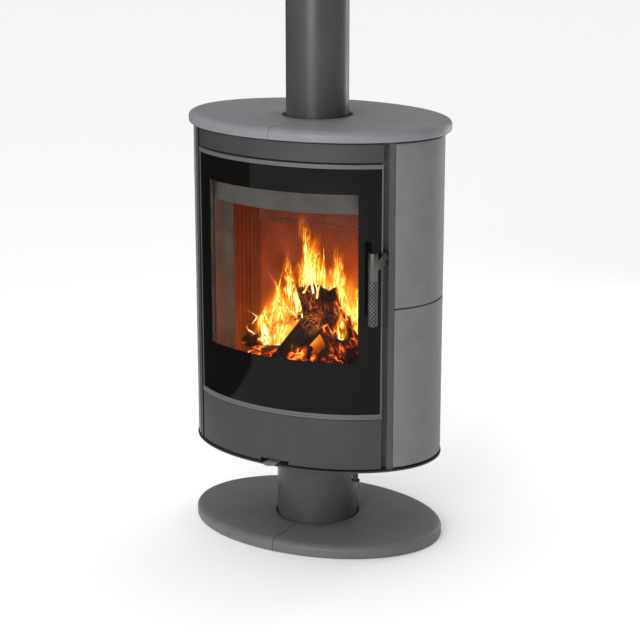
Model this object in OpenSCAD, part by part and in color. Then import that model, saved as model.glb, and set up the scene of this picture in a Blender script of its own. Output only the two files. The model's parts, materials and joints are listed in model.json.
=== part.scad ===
// Oval wood burning stove on a swivelling pedestal.
// Origin on the floor at the pedestal's axis, +Z up, the door faces -Y, millimetres.
// Places around the oval body are angles from the middle of the front, positive towards +X.
// Depths are distances inwards from the outer face of the side tiles.

/* [Body] */
// Width over the side tiles
body_w = 637; // [500:1:800]
// Depth over the side tiles
body_d = 443; // [350:1:560]
// Height from the body's underside to the underside of the top slab
body_h = 789; // [640:1:960]
// Height of the body's underside above the floor
leg_h = 216; // [160:1:300]
// Thickness of the bottom plate
plate_t = 4; // [3:0.5:8]
// How far the bottom plate stands out past the tiles
plate_lip = 2; // [0:0.5:6]
// How far the metal front sits behind the tile faces
front_set = 2.5; // [0:0.5:6]

/* [Top slab and base cladding] */
// Thickness of the top slab
slab_t = 27; // [20:1:45]
// Overhang of the top slab past the tiles at the sides
slab_side = 12; // [6:0.5:25]
// Overhang of the top slab past the tiles at the front
slab_front = 16; // [6:0.5:30]
// Overhang of the top slab past the tiles at the back
slab_back = 27; // [6:0.5:40]
// Width of the pedestal's base
base_w = 649; // [500:1:800]
// Depth of the pedestal's base
base_d = 463; // [360:1:600]
// Thickness of the base cladding
base_t = 31; // [20:1:45]
// Radius of the rounded rims of slab and base
rim_r = 9; // [4:0.5:10]
// Gap at the seam between the two halves of slab and base
seam_gap = 0.8; // [0.4:0.1:2]
// Thickness of the steel floor plate
floor_t = 6; // [4:0.5:12]
// Distance from the base's edge to the edge of the floor plate
floor_in = 24; // [15:1:60]

/* [Pedestal and turntable] */
// Outer diameter of the column
column_d = 200; // [170:1:240]
// Wall of the column
column_wall = 3; // [2:0.5:6]
// Gap between column and cladding, all round
column_gap = 3; // [1:0.5:8]
// Gap between the column's top and the body
column_clear = 4; // [3:0.5:5]
// Radius of the turntable's ball circle
ball_circle = 81; // [76:1:84]
// Radius of a turntable ball
ball_r = 4; // [3:0.5:5]
// Number of turntable balls
ball_n = 24; // [8:1:30]
// Diameter of the combustion air spigot
spigot_d = 125; // [80:1:126]

/* [Flue] */
// Outer diameter of the flue pipe
pipe_d = 150; // [120:1:160]
// Wall of the flue pipe
pipe_wall = 2; // [1.5:0.5:3]
// How far the pipe rises above the top slab
pipe_rise = 408; // [200:1:800]
// Length of the narrowed upper end that the next pipe slips over
swage_l = 50; // [30:1:80]
// Gap between the pipe and the top slab, all round
pipe_gap = 9; // [4:0.5:20]
// Gap between the collar's spigot and the pipe it enters
collar_gap = 0.5; // [0.3:0.1:1]

/* [Front] */
// Half the angle that the door and the two front panels cover
door_t = 50.8; // [46:0.1:52]
// Angle where the dark channel ends and the front profile starts
channel_t = 53.7; // [53.5:0.1:55]
// Angle where the front profile ends
profile_t = 57.3; // [56.5:0.1:60]
// Angle where the side tiles end and the back panel starts
tile_end_t = 135; // [115:1:150]
// Gap between the bottom plate and the lower front panel
lower_gap = 3.5; // [3:0.5:6]
// Height of the lower front panel
lower_h = 123; // [90:1:180]
// Gap between the lower front panel and the door
sill_gap = 1.5; // [1:0.5:4]
// Gap between the door and the upper front panel
head_gap = 4.5; // [3.5:0.5:8]
// Height of the upper front panel
upper_h = 42; // [25:1:80]
// Thickness of the sheet steel in panels
sheet = 2; // [1:0.5:3]

/* [Door] */
// Depth of the door from the metal front's face
door_depth = 19; // [16:0.5:24]
// Gap between the door's back and the steel front
door_clear = 1; // [0.5:0.1:3]
// Thickness of the glass
glass_t = 4; // [3:0.5:6]
// How far the glass sits behind the metal front's face
glass_set = 1; // [0:0.5:3]
// Height of the door's top rail
top_rail_h = 10; // [6:1:20]
// Height of the door's bottom rail
bottom_rail_h = 12; // [6:1:20]
// Half the angle of the clear window
window_t = 38.8; // [30:0.1:42]
// Height of the window's lower edge above the door's
window_low = 138; // [90:1:170]
// Distance from the window's upper edge down from the door's
window_head = 69; // [50:1:90]
// Distance from the door's end to the hinge's axis, along the front
hinge_out = 5.3; // [5:0.1:7]
// Radius of the hinge pins
hinge_r = 3; // [2:0.5:4]
// Running clearance of pins in their bores, on the radius
run_fit = 0.05; // [0.02:0.01:0.1]

/* [Handle] */
// Height of the handle's pivot above the door's lower edge
handle_z = 390; // [200:1:480]
// Distance from the door's end to the handle bar's axis, forwards
handle_reach = 59; // [45:1:90]
// Length of the handle bar
bar_l = 173; // [120:1:240]
// How far the bar rises above its arm
bar_up = 40; // [25:1:60]
// Radius of the handle bar
bar_r = 11; // [8:0.5:14]
// Length of the grip on the bar
grip_l = 105; // [60:1:105]
// Thickness of the flat arm
arm_t = 4.5; // [3:0.5:5]

/* [Firebox] */
// Gap between the firebox shell and the inner side panels
side_room = 88; // [60:1:110]
// Distance from the flue pipe's rear to the shell's rear
rear_room = 29; // [20:1:60]
// Wall of the firebox shell
shell_t = 4; // [3:0.5:6]
// Thickness of the side and back lining
lining_t = 28; // [20:1:40]
// Thickness of the strips in front of the side linings
strip_t = 2; // [1.5:0.5:4]
// Thickness of the tiles
tile_t = 24; // [15:1:30]
// Depth of the chamber behind the back lining
chamber_d = 47; // [30:1:70]
// Distance of the side lining's front end from the back lining
lining_l = 132; // [100:1:150]
// Height of the hearth above the door's lower edge
hearth_z = 56; // [50:1:90]
// Height of the front opening's upper edge below the door's upper edge
throat_drop = 118; // [80:1:160]
// Number of grooves in each side lining
groove_n = 7; // [3:1:9]
// Half the width of the grate
grate_hw = 112; // [80:1:116]
// Height of the ash pan's runners, which keep it clear of the air inlet
pan_foot = 15; // [8:0.5:20]
// Width of the air lever's tab
lever_w = 31; // [20:1:40]
// How far the air lever's tab stands out of the front
lever_out = 22; // [12:1:35]
// Half the width of the notch for the air lever
notch_hw = 38; // [30:1:50]
// Where the air lever stands across the front at rest
lever_x = -8; // [-14:1:14]
// Radius of the air valve's spindle
spindle_r = 6; // [4:0.5:8]
// Depth of the air valve's spindle behind the tile faces
valve_depth = 53.5; // [50:0.5:90]
// Angle of the air valve from the middle of the front
valve_t = 40.5; // [30:0.5:60]
// How far the air valve's knob hangs below the body
valve_drop = 41; // [25:1:60]

/* [Hidden] */
$fn = 96;
e = 0.01;
gap = 0.5;
grid_t = 3;

half_w = body_w / 2;
half_d = body_d / 2;

// Heights above the floor
plate_top = leg_h + plate_t;
body_top = leg_h + body_h;
frame_plate_t = 3;
lower_z = plate_top + lower_gap;
door_z = lower_z + lower_h + sill_gap;
upper_z = body_top - frame_plate_t - 1.5 - upper_h;
door_top = upper_z - head_gap;
door_h = door_top - door_z;
window_z = door_z + window_low;
window_top = door_top - window_head;
hearth_top = door_z + hearth_z;
throat_z = door_top - throat_drop;
pipe_top = body_top + slab_t + pipe_rise;
inner_h = body_top - frame_plate_t - plate_top;

// Depths from the outer face of the tiles
glass_face = front_set + glass_set;
glass_back = glass_face + glass_t;
seal_back = glass_back + 0.2 + 1;
skin_in = seal_back + 0.2;
skin_t = 3;
door_back = front_set + door_depth;
steel_in = door_back + door_clear;
steel_back = steel_in + shell_t;
panel_in = tile_t + 2;

// Firebox
shell_hw = half_w - panel_in - 1.5 - side_room;
shell_in = shell_hw - shell_t;
lining_hw = shell_in - gap;
fire_hw = lining_hw - lining_t;
shell_back = pipe_d / 2 + rear_room;
fire_back = shell_back - shell_t - chamber_d - lining_t;
fire_front = fire_back - lining_l;
shell_z = door_z + shell_t;
shell_top = door_top + 11;
lining_top = throat_z + 9;
opening_t = asin(shell_in / (half_w - steel_in));
ledge_z = hearth_top - 10;

// Door ends, channel, hinge and handle
end_out = pt(front_set, door_t);
end_in = pt(door_back, door_t);
channel_x = pt(front_set, channel_t)[0];
steel_t = asin((channel_x - 1) / (half_w - steel_in));
hinge_in = pt(front_set + 7, -door_t);
hinge_way = pt(front_set + 7, -door_t - 1) - hinge_in;
hinge_p = hinge_in + hinge_way / norm(hinge_way) * hinge_out;
knuckle_r = hinge_r + 2;
arm_x = channel_x - 2.8 - arm_t;
pivot_y = end_in[1] - 4.5;
pivot_z = door_z + handle_z;
pivot_r = 3;
bar_y = end_out[1] - handle_reach;
bar_top = pivot_z - 15 + bar_up;
bar_z = bar_top - bar_l;

// Column, turntable and flue
column_r = column_d / 2;
column_in = column_r - column_wall;
column_top = leg_h - column_clear;
race_w = 11;
race_fit = 0.1;
ball_z = leg_h - 7.5;
flange_t = 6;
race_z = ball_z - 6.5;
spigot_r = spigot_d / 2;
spigot_wall = 1.5;
spigot_flange = 12;
spigot_z = leg_h - 90;
spigot_l = 60;
pipe_r = pipe_d / 2;
pipe_in = pipe_r - pipe_wall;
collar_r = pipe_in - collar_gap;
collar_in = collar_r - 3;
pipe_z = shell_top + 26;

// Side tiles
tile_foot = 4.5;
tile_joint = 1;
tile_h = (body_top - 4.5 - plate_top - tile_foot - tile_joint) / 2;
tile_x = pt(front_set, profile_t)[0] + 0.4;

// Top slab
slab_a = half_w + slab_side;
slab_b = half_d + (slab_front + slab_back) / 2;
slab_shift = (slab_back - slab_front) / 2;

// Latch keeper behind the steel front
keeper_y = -(half_d - steel_back) * sqrt(1 - pow((arm_x + arm_t) / (half_w - steel_back), 2)) + 9;
keeper_z = pivot_z + 7;
keeper_r = 4;

// Air slider on the bottom plate, and the air valve near the right front
slider_d = 50;
slider_hw = 45;
slider_z = plate_top + gap;
slider_t = 2.5;
slider_y = -(spigot_r + spigot_flange + 8.5 + slider_d);
port_w = lever_w * 0.45;
port_x = 26;
valve_at = pt(valve_depth, valve_t);
valve_disc_r = 20;

function pt(depth, t) = [(half_w - depth) * sin(t), -(half_d - depth) * cos(t)];
function steps(t0, t1) = concat([t0],
    [for (k = [ceil((t0 + 0.5) / grid_t) : floor((t1 - 0.5) / grid_t)]) k * grid_t], [t1]);
function run(depth, t0, t1) = [for (t = steps(t0, t1)) pt(depth, t)];
function back(v) = [for (i = [len(v) - 1 : -1 : 0]) v[i]];
function ring(depth) = [for (k = [0 : 360 / grid_t - 1]) pt(depth, k * grid_t)];
function loop(a, b, n) = [for (k = [0 : n - 1]) [a * sin(360 * k / n), -b * cos(360 * k / n)]];

// A stretch of curved wall between two depths and two angles
module wall(d0, d1, t0, t1, z, h) {
    translate([0, 0, z])
        linear_extrude(h)
            polygon(concat(run(d0, t0, t1), back(run(d1, t0, t1))));
}

// A whole oval plate
module oval(depth, z, h) {
    translate([0, 0, z])
        linear_extrude(h)
            polygon(ring(depth));
}

module tube(r_out, r_in, z, h) {
    translate([0, 0, z])
        difference() {
            cylinder(r = r_out, h = h);
            translate([0, 0, -1])
                cylinder(r = r_in, h = h + 2);
        }
}

module block(x0, x1, y0, y1, z0, z1) {
    translate([x0, y0, z0])
        cube([x1 - x0, y1 - y0, z1 - z0]);
}

// A thick oval slab with rounded rims
module rim_slab(a, b, t, r) {
    insets = [[0.55, 0], [0, 0.7], [0, 1 - r / t], [0.12, 1 - r / t * 0.55], [0.4, 1 - r / t * 0.15], [0.85, 1]];
    hull()
        for (s = insets)
            translate([0, 0, min(t - 0.1, t * s[1])])
                linear_extrude(0.1)
                    polygon(loop(a - r * s[0], b - r * s[0], 72));
}

// One half of a slab with a round hole at the origin: side is -1 left, 1 right
module half_slab(a, b, t, shift, hole_r, side) {
    difference() {
        intersection() {
            translate([0, shift, 0])
                rim_slab(a, b, t, rim_r);
            translate([side < 0 ? -a - 1 : seam_gap / 2, -2 * b, -1])
                cube([a + 1 - seam_gap / 2, 4 * b, t + 2]);
        }
        translate([0, 0, -1])
            cylinder(r = hole_r, h = t + 2);
    }
}

// ---- pedestal ----

module floor_plate() {
    color("#3c3c3e")
        difference() {
            linear_extrude(floor_t)
                polygon(loop(base_w / 2 - floor_in, base_d / 2 - floor_in, 96));
            translate([0, 0, -1])
                cylinder(r = spigot_r + 2.5, h = floor_t + 2);
        }
}

module base_cladding(side) {
    color("#5c5c60")
        difference() {
            half_slab(base_w / 2, base_d / 2, base_t, 0, column_r + column_gap, side);
            translate([0, 0, -1])
                linear_extrude(floor_t + gap + 1)
                    polygon(loop(base_w / 2 - floor_in + 1, base_d / 2 - floor_in + 1, 96));
        }
}

module base_cladding_left() { base_cladding(-1); }
module base_cladding_right() { base_cladding(1); }

module pedestal_column() {
    color("#4a4a4c")
        tube(column_r, column_in, floor_t, column_top - floor_t);
}

module column_flange() {
    color("#3c3c3e")
        tube(column_in, ball_circle - race_w, race_z - flange_t, flange_t);
}

module race_groove() {
    rotate_extrude()
        translate([ball_circle, ball_z])
            circle(r = ball_r + race_fit, $fn = 48);
}

module lower_race() {
    color("#8a8a8c")
        difference() {
            tube(ball_circle + race_w, ball_circle - race_w, race_z, ball_z - 0.6 - race_z);
            race_groove();
        }
}

module upper_race() {
    color("#8a8a8c")
        difference() {
            tube(ball_circle + race_w, ball_circle - race_w, ball_z + 0.6, leg_h - ball_z - 0.6);
            race_groove();
        }
}

module bearing_balls() {
    color("#b8b8bc")
        for (k = [0 : ball_n - 1])
            rotate(360 * k / ball_n)
                translate([ball_circle, 0, ball_z])
                    sphere(r = ball_r, $fn = 32);
}

// ---- lower body ----

module bottom_plate() {
    color("#38383a")
        difference() {
            oval(-plate_lip, leg_h, plate_t);
            translate([0, 0, leg_h - 1])
                cylinder(r = spigot_r + 2, h = plate_t + 2);
            translate([valve_at[0], valve_at[1], leg_h - 1]) {
                cylinder(r = spindle_r + run_fit, h = plate_t + 2);
                for (k = [0 : 5])
                    rotate(60 * k)
                        translate([valve_disc_r * 0.66, 0, 0])
                            cylinder(r = 3.5, h = plate_t + 2, $fn = 32);
            }
            for (x = [-1, 1])
                translate([x * port_x - port_w / 2, slider_y + 10, leg_h - 1])
                    cube([port_w, slider_d - 20, plate_t + 2]);
        }
}

module air_spigot() {
    color("#3c3c3e") {
        tube(spigot_r, spigot_r - spigot_wall, spigot_z, spigot_l);
        tube(spigot_r + 1, spigot_r - spigot_wall, spigot_z + spigot_l, shell_z - shell_t - spigot_z - spigot_l);
        tube(spigot_r + spigot_flange, spigot_r, plate_top, 3);
    }
}

// Sheet panel on the front with returned ends
module front_panel(z, h) {
    wall(front_set, front_set + sheet, -door_t, door_t, z, h);
    for (s = [-1, 1])
        wall(front_set, door_back - 3, min(s * door_t, s * (door_t - 0.5)),
            max(s * door_t, s * (door_t - 0.5)), z, h);
}

module lower_front_panel() {
    color("#484848")
        difference() {
            front_panel(lower_z, lower_h);
            block(-notch_hw, notch_hw, -half_d - 5, -half_d * 0.7, lower_z - 1, lower_z + 8);
        }
}

module upper_front_panel() {
    color("#484848")
        front_panel(upper_z, upper_h);
}

// Steel upright between the dark channel and the tiles: side is -1 left, 1 right
module front_profile(side) {
    face = run(front_set, channel_t, profile_t);
    inner = pt(front_set, profile_t);
    tip_y = -(half_d - steel_back) * sqrt(1 - pow(channel_x / (half_w - steel_back), 2)) + 1;
    color("#5a5a5c")
        mirror([side < 0 ? 1 : 0, 0, 0])
            translate([0, 0, plate_top])
                linear_extrude(inner_h) {
                    polygon(concat(face, [[inner[0], inner[1] + sheet * 2], [channel_x, face[0][1] + sheet * 1.5]]));
                    translate([channel_x, face[0][1] + e])
                        square([sheet, tip_y - face[0][1]]);
                    translate([inner[0] - sheet, inner[1] + e])
                        square([sheet, panel_in]);
                }
}

module front_profile_left() { front_profile(-1); }
module front_profile_right() { front_profile(1); }

// Curved steel front that carries the door, with the firebox opening and the latch slot
module front_frame() {
    color("#2c2c2e")
        difference() {
            wall(steel_in, steel_back, -steel_t, steel_t, plate_top, inner_h);
            wall(steel_in - 4, steel_back + 4, -opening_t, opening_t, hearth_top, throat_z - hearth_top);
            block(arm_x - 1.5, channel_x - 0.2, end_in[1] - 5, end_in[1] + 60, pivot_z - 33, pivot_z + 13);
            block(-notch_hw, notch_hw, -half_d, -half_d * 0.7, plate_top - 1, lower_z + 8);
        }
}

module side_panel(side) {
    color("#3a3a3c")
        mirror([side < 0 ? 1 : 0, 0, 0])
            difference() {
                wall(panel_in, panel_in + 1.5, channel_t, tile_end_t - 1.4, plate_top, inner_h);
                block(0, tile_x, -half_d, 0, plate_top - 1, body_top);
            }
}

module side_panel_left() { side_panel(-1); }
module side_panel_right() { side_panel(1); }

// Curved tile, its front end cut square beside the front profile: side is -1 left, 1 right
module tile(side, z) {
    color("#6c6d6f")
        mirror([side < 0 ? 1 : 0, 0, 0])
            difference() {
                wall(0, tile_t, channel_t, tile_end_t - 0.4, z, tile_h);
                block(0, tile_x, -half_d - 1, 0, z - 1, z + tile_h + 1);
            }
}

module tile_lower_left() { tile(-1, plate_top + tile_foot); }
module tile_lower_right() { tile(1, plate_top + tile_foot); }
module tile_upper_left() { tile(-1, plate_top + tile_foot + tile_h + tile_joint); }
module tile_upper_right() { tile(1, plate_top + tile_foot + tile_h + tile_joint); }

// Pads under the tiles and thin pads in the joint between them
module tile_pads() {
    color("#202020")
        for (s = [-1, 1], t = [profile_t + 8, 96, tile_end_t - 8], level = [0, 1])
            let (p = pt(tile_t / 2, s * t))
                translate([p[0], p[1], level == 0 ? plate_top : plate_top + tile_foot + tile_h])
                    cylinder(r = 7, h = level == 0 ? tile_foot : tile_joint, $fn = 32);
}

module back_panel() {
    slot_n = 13;
    slot_t = (180 - tile_end_t - 6) * 2 / slot_n;
    color("#3a3a3c")
        difference() {
            wall(front_set, front_set + 1.5, tile_end_t, 360 - tile_end_t,
                plate_top, inner_h);
            for (k = [0 : slot_n - 1], z = [plate_top + 40, body_top - 130])
                let (t = tile_end_t + 6 + slot_t * (k + 0.5))
                    wall(front_set - 3, front_set + 5, t - slot_t * 0.22, t + slot_t * 0.22, z, 80);
        }
}

module rear_profiles() {
    color("#3a3a3c")
        for (s = [-1, 1])
            wall(front_set + 1.7, panel_in + 6, min(s * (tile_end_t + 0.2), s * (tile_end_t + 2.2)),
                max(s * (tile_end_t + 0.2), s * (tile_end_t + 2.2)),
                plate_top, inner_h);
}

module panel_screws() {
    color("#8a8a8c")
        for (s = [-1, 1], z = [plate_top + 20, (plate_top + body_top) / 2, body_top - 30])
            let (t = 180 + s * (180 - tile_end_t - 2), p = pt(front_set - 0.2, t),
                a = atan2(p[1] / pow(half_d, 2), p[0] / pow(half_w, 2)))
                translate([p[0], p[1], z])
                    rotate([0, 90, a])
                        difference() {
                            cylinder(r = 5, h = 2.5, $fn = 32);
                            translate([0, 0, 1])
                                cylinder(r = 2.3, h = 3, $fn = 6);
                        }
}

// ---- top ----

module top_frame() {
    color("#2c2c2e")
        difference() {
            oval(front_set + 2, body_top - frame_plate_t, frame_plate_t);
            translate([0, 0, body_top - frame_plate_t - 1])
                cylinder(r = pipe_r + pipe_gap + 6, h = frame_plate_t + 2);
        }
}

module top_slab(side) {
    color("#7c7c7f")
        translate([0, 0, body_top])
            half_slab(slab_a, slab_b, slab_t, slab_shift, pipe_r + pipe_gap, side);
}

module top_slab_left() { top_slab(-1); }
module top_slab_right() { top_slab(1); }

module flue_collar() {
    color("#2c2c2e") {
        tube(pipe_r + 16, collar_in, shell_top, 4);
        tube(collar_r, collar_in, shell_top + 4, 80);
        tube(pipe_r + 3, collar_r - 1, pipe_z - 4.5, 4);
    }
}

// Pipe whose upper end is narrowed, so that the next pipe slips over it
module flue_pipe() {
    swage_z = pipe_top - swage_l;
    swage_r = pipe_in - collar_gap;
    color("#4e4e50") {
        tube(pipe_r, pipe_in, pipe_z, swage_z - pipe_z);
        tube(pipe_r, swage_r - pipe_wall, swage_z - 3, 3);
        tube(swage_r, swage_r - pipe_wall, swage_z, swage_l);
    }
}

// ---- firebox ----

module firebox_shell() {
    color("#2e2e30") {
        difference() {
            intersection() {
                block(-shell_hw, shell_hw, -half_d, shell_back, shell_z - shell_t, shell_top);
                oval(steel_back, shell_z - shell_t, shell_top);
            }
            block(-shell_in, shell_in, -half_d - 1, shell_back - shell_t, shell_z, shell_top - shell_t);
            translate([0, 0, shell_top - shell_t - 1])
                cylinder(r = collar_in, h = shell_t + 2);
            translate([0, 0, shell_z - shell_t - 1])
                cylinder(r = spigot_r - spigot_wall, h = shell_t + 2);
        }
        // welded strips that hold the front ends of the side linings
        for (s = [-1, 1])
            mirror([s < 0 ? 1 : 0, 0, 0])
                block(fire_hw, shell_in + 1, fire_front - gap - strip_t, fire_front - gap, hearth_top + gap, lining_top);
    }
}

module lining_side(side) {
    pitch = lining_l / groove_n;
    color("#9c5a38")
        mirror([side < 0 ? 1 : 0, 0, 0])
            difference() {
                block(fire_hw, lining_hw, fire_front, fire_back, hearth_top, lining_top);
                for (k = [0 : groove_n - 1])
                    translate([fire_hw - 1, fire_front + pitch * (k + 0.5) - 3, hearth_top - 1])
                        cube([7, 6, lining_top - hearth_top + 2]);
            }
}

module lining_left() { lining_side(-1); }
module lining_right() { lining_side(1); }

module lining_back(side) {
    color("#a86440")
        block(side < 0 ? -lining_hw : seam_gap / 2, side < 0 ? -seam_gap / 2 : lining_hw,
            fire_back, fire_back + lining_t, hearth_top, lining_top);
}

module lining_back_left() { lining_back(-1); }
module lining_back_right() { lining_back(1); }

module hearth_bricks() {
    color("#8a5236")
        for (s = [-1, 1])
            mirror([s < 0 ? 1 : 0, 0, 0])
                difference() {
                    intersection() {
                        block(grate_hw - 6, lining_hw, -half_d, fire_back + lining_t, shell_z, hearth_top);
                        oval(steel_back + gap, shell_z, hearth_top);
                    }
                    block(grate_hw - 7, grate_hw + gap, -half_d, fire_back + lining_t + 1, ledge_z - gap, hearth_top + 1);
                }
}

module grate() {
    slots = 9;
    pitch = (2 * grate_hw - 24) / slots;
    color("#242424")
        difference() {
            block(-grate_hw, grate_hw, fire_front - 20, fire_back - gap, ledge_z, hearth_top - 1);
            for (k = [0 : slots - 1])
                block(-grate_hw + 12 + pitch * k + 4, -grate_hw + 12 + pitch * (k + 1) - 4,
                    fire_front, fire_back - 18, ledge_z - 1, hearth_top);
        }
}

// Pan on two runners that straddle the air inlet
module ash_pan() {
    pan_hw = grate_hw - 9;
    pan_t = 1.5;
    y0 = fire_front - 16;
    y1 = fire_back - 6;
    foot_z = shell_z + gap;
    pan_z = foot_z + pan_foot;
    color("#6a6a6c") {
        difference() {
            block(-pan_hw, pan_hw, y0, y1, pan_z, ledge_z - 4);
            block(-pan_hw + pan_t, pan_hw - pan_t, y0 + pan_t, y1 - pan_t, pan_z + pan_t, ledge_z);
        }
        for (s = [-1, 1])
            block(min(s * pan_hw, s * (pan_hw - 8)), max(s * pan_hw, s * (pan_hw - 8)), y0, y1, foot_z, pan_z);
    }
}

module baffle() {
    color("#8a5236")
        block(-lining_hw, lining_hw, fire_front + 40, fire_back + lining_t, lining_top, lining_top + 25);
}

// Secondary air rail across the back lining, with a row of jets
module air_rail() {
    jets = 12;
    rail_z = throat_z - 84;
    color("#5a3a2c")
        difference() {
            block(-fire_hw + gap, fire_hw - gap, fire_back - 12, fire_back, rail_z, rail_z + 40);
            for (k = [0 : jets - 1])
                translate([(k - (jets - 1) / 2) * fire_hw * 1.8 / jets, fire_back - 13, rail_z + 12])
                    rotate([-90, 0, 0])
                        cylinder(r = 3, h = 9, $fn = 32);
        }
}

// ---- air controls ----

// Flat slider with two windows and a tab that comes out under the lower front panel
module air_lever() {
    tab_y = -half_d + front_set - lever_out;
    hw = lever_w / 2;
    color("#8a8a8a")
        translate([lever_x, 0, slider_z])
            linear_extrude(slider_t)
                difference() {
                    union() {
                        polygon(concat([[-hw, slider_y + 5]],
                            [for (k = [0 : 18]) [-hw * cos(180 * k / 18), tab_y + 13 - 13 * sin(180 * k / 18)]],
                            [[hw, slider_y + 5]]));
                        translate([-slider_hw, slider_y])
                            square([2 * slider_hw, slider_d]);
                    }
                    for (x = [-1, 1])
                        translate([x * port_x - port_w / 2 - lever_x / 2, slider_y + 10])
                            square([port_w, slider_d - 20]);
                }
}

// Rails that hold the slider down
module air_guides() {
    lip_z = slider_z + slider_t + gap;
    y0 = slider_y;
    y1 = y0 + slider_d;
    color("#3a3a3c") {
        block(-90, 90, y1 + gap, y1 + 6, plate_top, lip_z + 2);
        block(-90, 90, y1 - 4, y1 + 6, lip_z, lip_z + 2);
        for (s = [-1, 1]) {
            block(min(s * 56, s * 90), max(s * 56, s * 90), y0 - 6, y0 - gap, plate_top, lip_z + 2);
            block(min(s * 56, s * 90), max(s * 56, s * 90), y0 - 6, y0 + 4, lip_z, lip_z + 2);
        }
    }
}

module air_valve_knob() {
    head_r = 10.4;
    color("#2a2a2a")
        translate([valve_at[0], valve_at[1], leg_h - valve_drop])
            rotate_extrude($fn = 64)
                polygon(concat([[0, 0], [head_r * 0.5, 0]],
                    [for (k = [0 : 6]) [head_r * (0.5 + 0.5 * sin(15 * k)), 4 - 4 * cos(15 * k)]],
                    [[head_r, 6], [spindle_r + 1, 8], [spindle_r, 10],
                     [spindle_r, valve_drop + plate_t + 0.3], [4, valve_drop + plate_t + 0.3],
                     [4, valve_drop + plate_t + 7], [0, valve_drop + plate_t + 7]]));
}

module air_valve_disc() {
    color("#5a5a5c")
        translate([valve_at[0], valve_at[1], 0])
            tube(valve_disc_r, 4, plate_top + 0.3, 3);
}

// ---- door ----

module door_frame() {
    border = 3.2;
    lug_h = 6;
    end_p = pt((skin_in + door_back) / 2, -door_t + 0.4);
    dir = (hinge_p - end_p) / norm(hinge_p - end_p);
    side = [-dir[1], dir[0]] * knuckle_r;
    color("#3a3a3c")
        difference() {
            union() {
                difference() {
                    union() {
                        wall(skin_in, skin_in + skin_t, -door_t, door_t, door_z, door_h);
                        difference() {
                            wall(skin_in, door_back, -door_t, door_t, door_z, door_h);
                            wall(skin_in - 1, door_back + 1, -door_t + border, door_t - border,
                                door_z + 14, door_h - 28);
                        }
                    }
                    wall(skin_in - 1, door_back + 1, -window_t - 0.6, window_t + 0.6,
                        window_z - 4, window_top - window_z + 8);
                }
                for (z = [door_z + 1, door_top - 1 - lug_h])
                    translate([0, 0, z])
                        difference() {
                            union() {
                                linear_extrude(lug_h)
                                    polygon([end_p + side * 1.2, hinge_p + side, hinge_p - side, end_p - side * 1.2]);
                                translate([hinge_p[0], hinge_p[1], 0])
                                    cylinder(r = knuckle_r, h = lug_h);
                            }
                            wall(-5, skin_in, -door_t, 10 - door_t, -1, lug_h + 2);
                        }
            }
            translate([hinge_p[0], hinge_p[1], door_z - 1])
                cylinder(r = hinge_r + run_fit, h = door_h + 2);
        }
}

module door_glass() {
    color("#1c1c1a", 0.6)
        wall(glass_face, glass_back, -door_t + 0.8, door_t - 0.8,
            door_z + bottom_rail_h + 0.3, door_h - bottom_rail_h - top_rail_h - 0.6);
}

module frame_ring(d0, d1, t_in, t_out, z_in, z_out, top_in, top_out) {
    difference() {
        wall(d0, d1, -t_out, t_out, z_out, top_out - z_out);
        wall(d0 - 1, d1 + 1, -t_in, t_in, z_in, top_in - z_in);
    }
}

module glass_seal() {
    color("#c8c4b8")
        frame_ring(glass_back + 0.2, seal_back, window_t + 1, window_t + 3,
            window_z - 6, window_z - 16, window_top + 6, window_top + 16);
}

module door_seal() {
    color("#d0ccc0")
        frame_ring(skin_in + skin_t + 0.3, door_back + door_clear - 0.4, 44.2, 46.6,
            door_z + 30, door_z + 18, door_top - 30, door_top - 18);
}

module door_rail(z, h, lip_z) {
    color("#5c5c5a") {
        wall(front_set - 0.7, seal_back, -door_t, door_t, z, h);
        wall(front_set - 1.7, front_set - 0.7 + e, -door_t, door_t, lip_z, h * 0.45);
    }
}

module door_top_rail() { door_rail(door_top - top_rail_h, top_rail_h, door_top - top_rail_h * 0.45); }
module door_bottom_rail() { door_rail(door_z, bottom_rail_h, door_z); }

module door_trims() {
    z = door_z + bottom_rail_h + 0.3;
    color("#6a6a68")
        for (s = [-1, 1])
            wall(front_set, seal_back, min(s * (door_t - 0.7), s * door_t), max(s * (door_t - 0.7), s * door_t),
                z, door_h - bottom_rail_h - top_rail_h - 0.6);
}

module hinge_brackets() {
    root = pt(steel_in + 6, -(door_t + 5));
    dir = (hinge_p - root) / norm(hinge_p - root);
    side = [-dir[1], dir[0]] * (knuckle_r - 0.4);
    color("#3a3a3c")
        for (z = [door_z - sill_gap - 4.5, door_top + 0.8])
            translate([0, 0, z])
                difference() {
                    union() {
                        linear_extrude(3)
                            polygon([root + side, hinge_p + side, hinge_p - side, root - side]);
                        translate([hinge_p[0], hinge_p[1], 0])
                            cylinder(r = knuckle_r - 0.4, h = 3);
                    }
                    translate([hinge_p[0], hinge_p[1], -1])
                        cylinder(r = hinge_r, h = 5);
                    wall(steel_in, steel_back + 20, -steel_t - 5, -door_t + 5, -1, 5);
                }
}

module hinge_pins() {
    low = door_z - sill_gap - 4.5;
    color("#b0b0b0") {
        translate([hinge_p[0], hinge_p[1], low])
            cylinder(r = hinge_r, h = door_z + 9 - low);
        translate([hinge_p[0], hinge_p[1], door_top - 9])
            cylinder(r = hinge_r, h = 12.8);
    }
}

module hinge_washer() {
    low = door_z - sill_gap - 1.5;
    color("#b08a40")
        translate([hinge_p[0], hinge_p[1], 0])
            tube(knuckle_r - 0.4, hinge_r, low, door_z + 0.7 - low);
}

// ---- handle and latch ----

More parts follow.
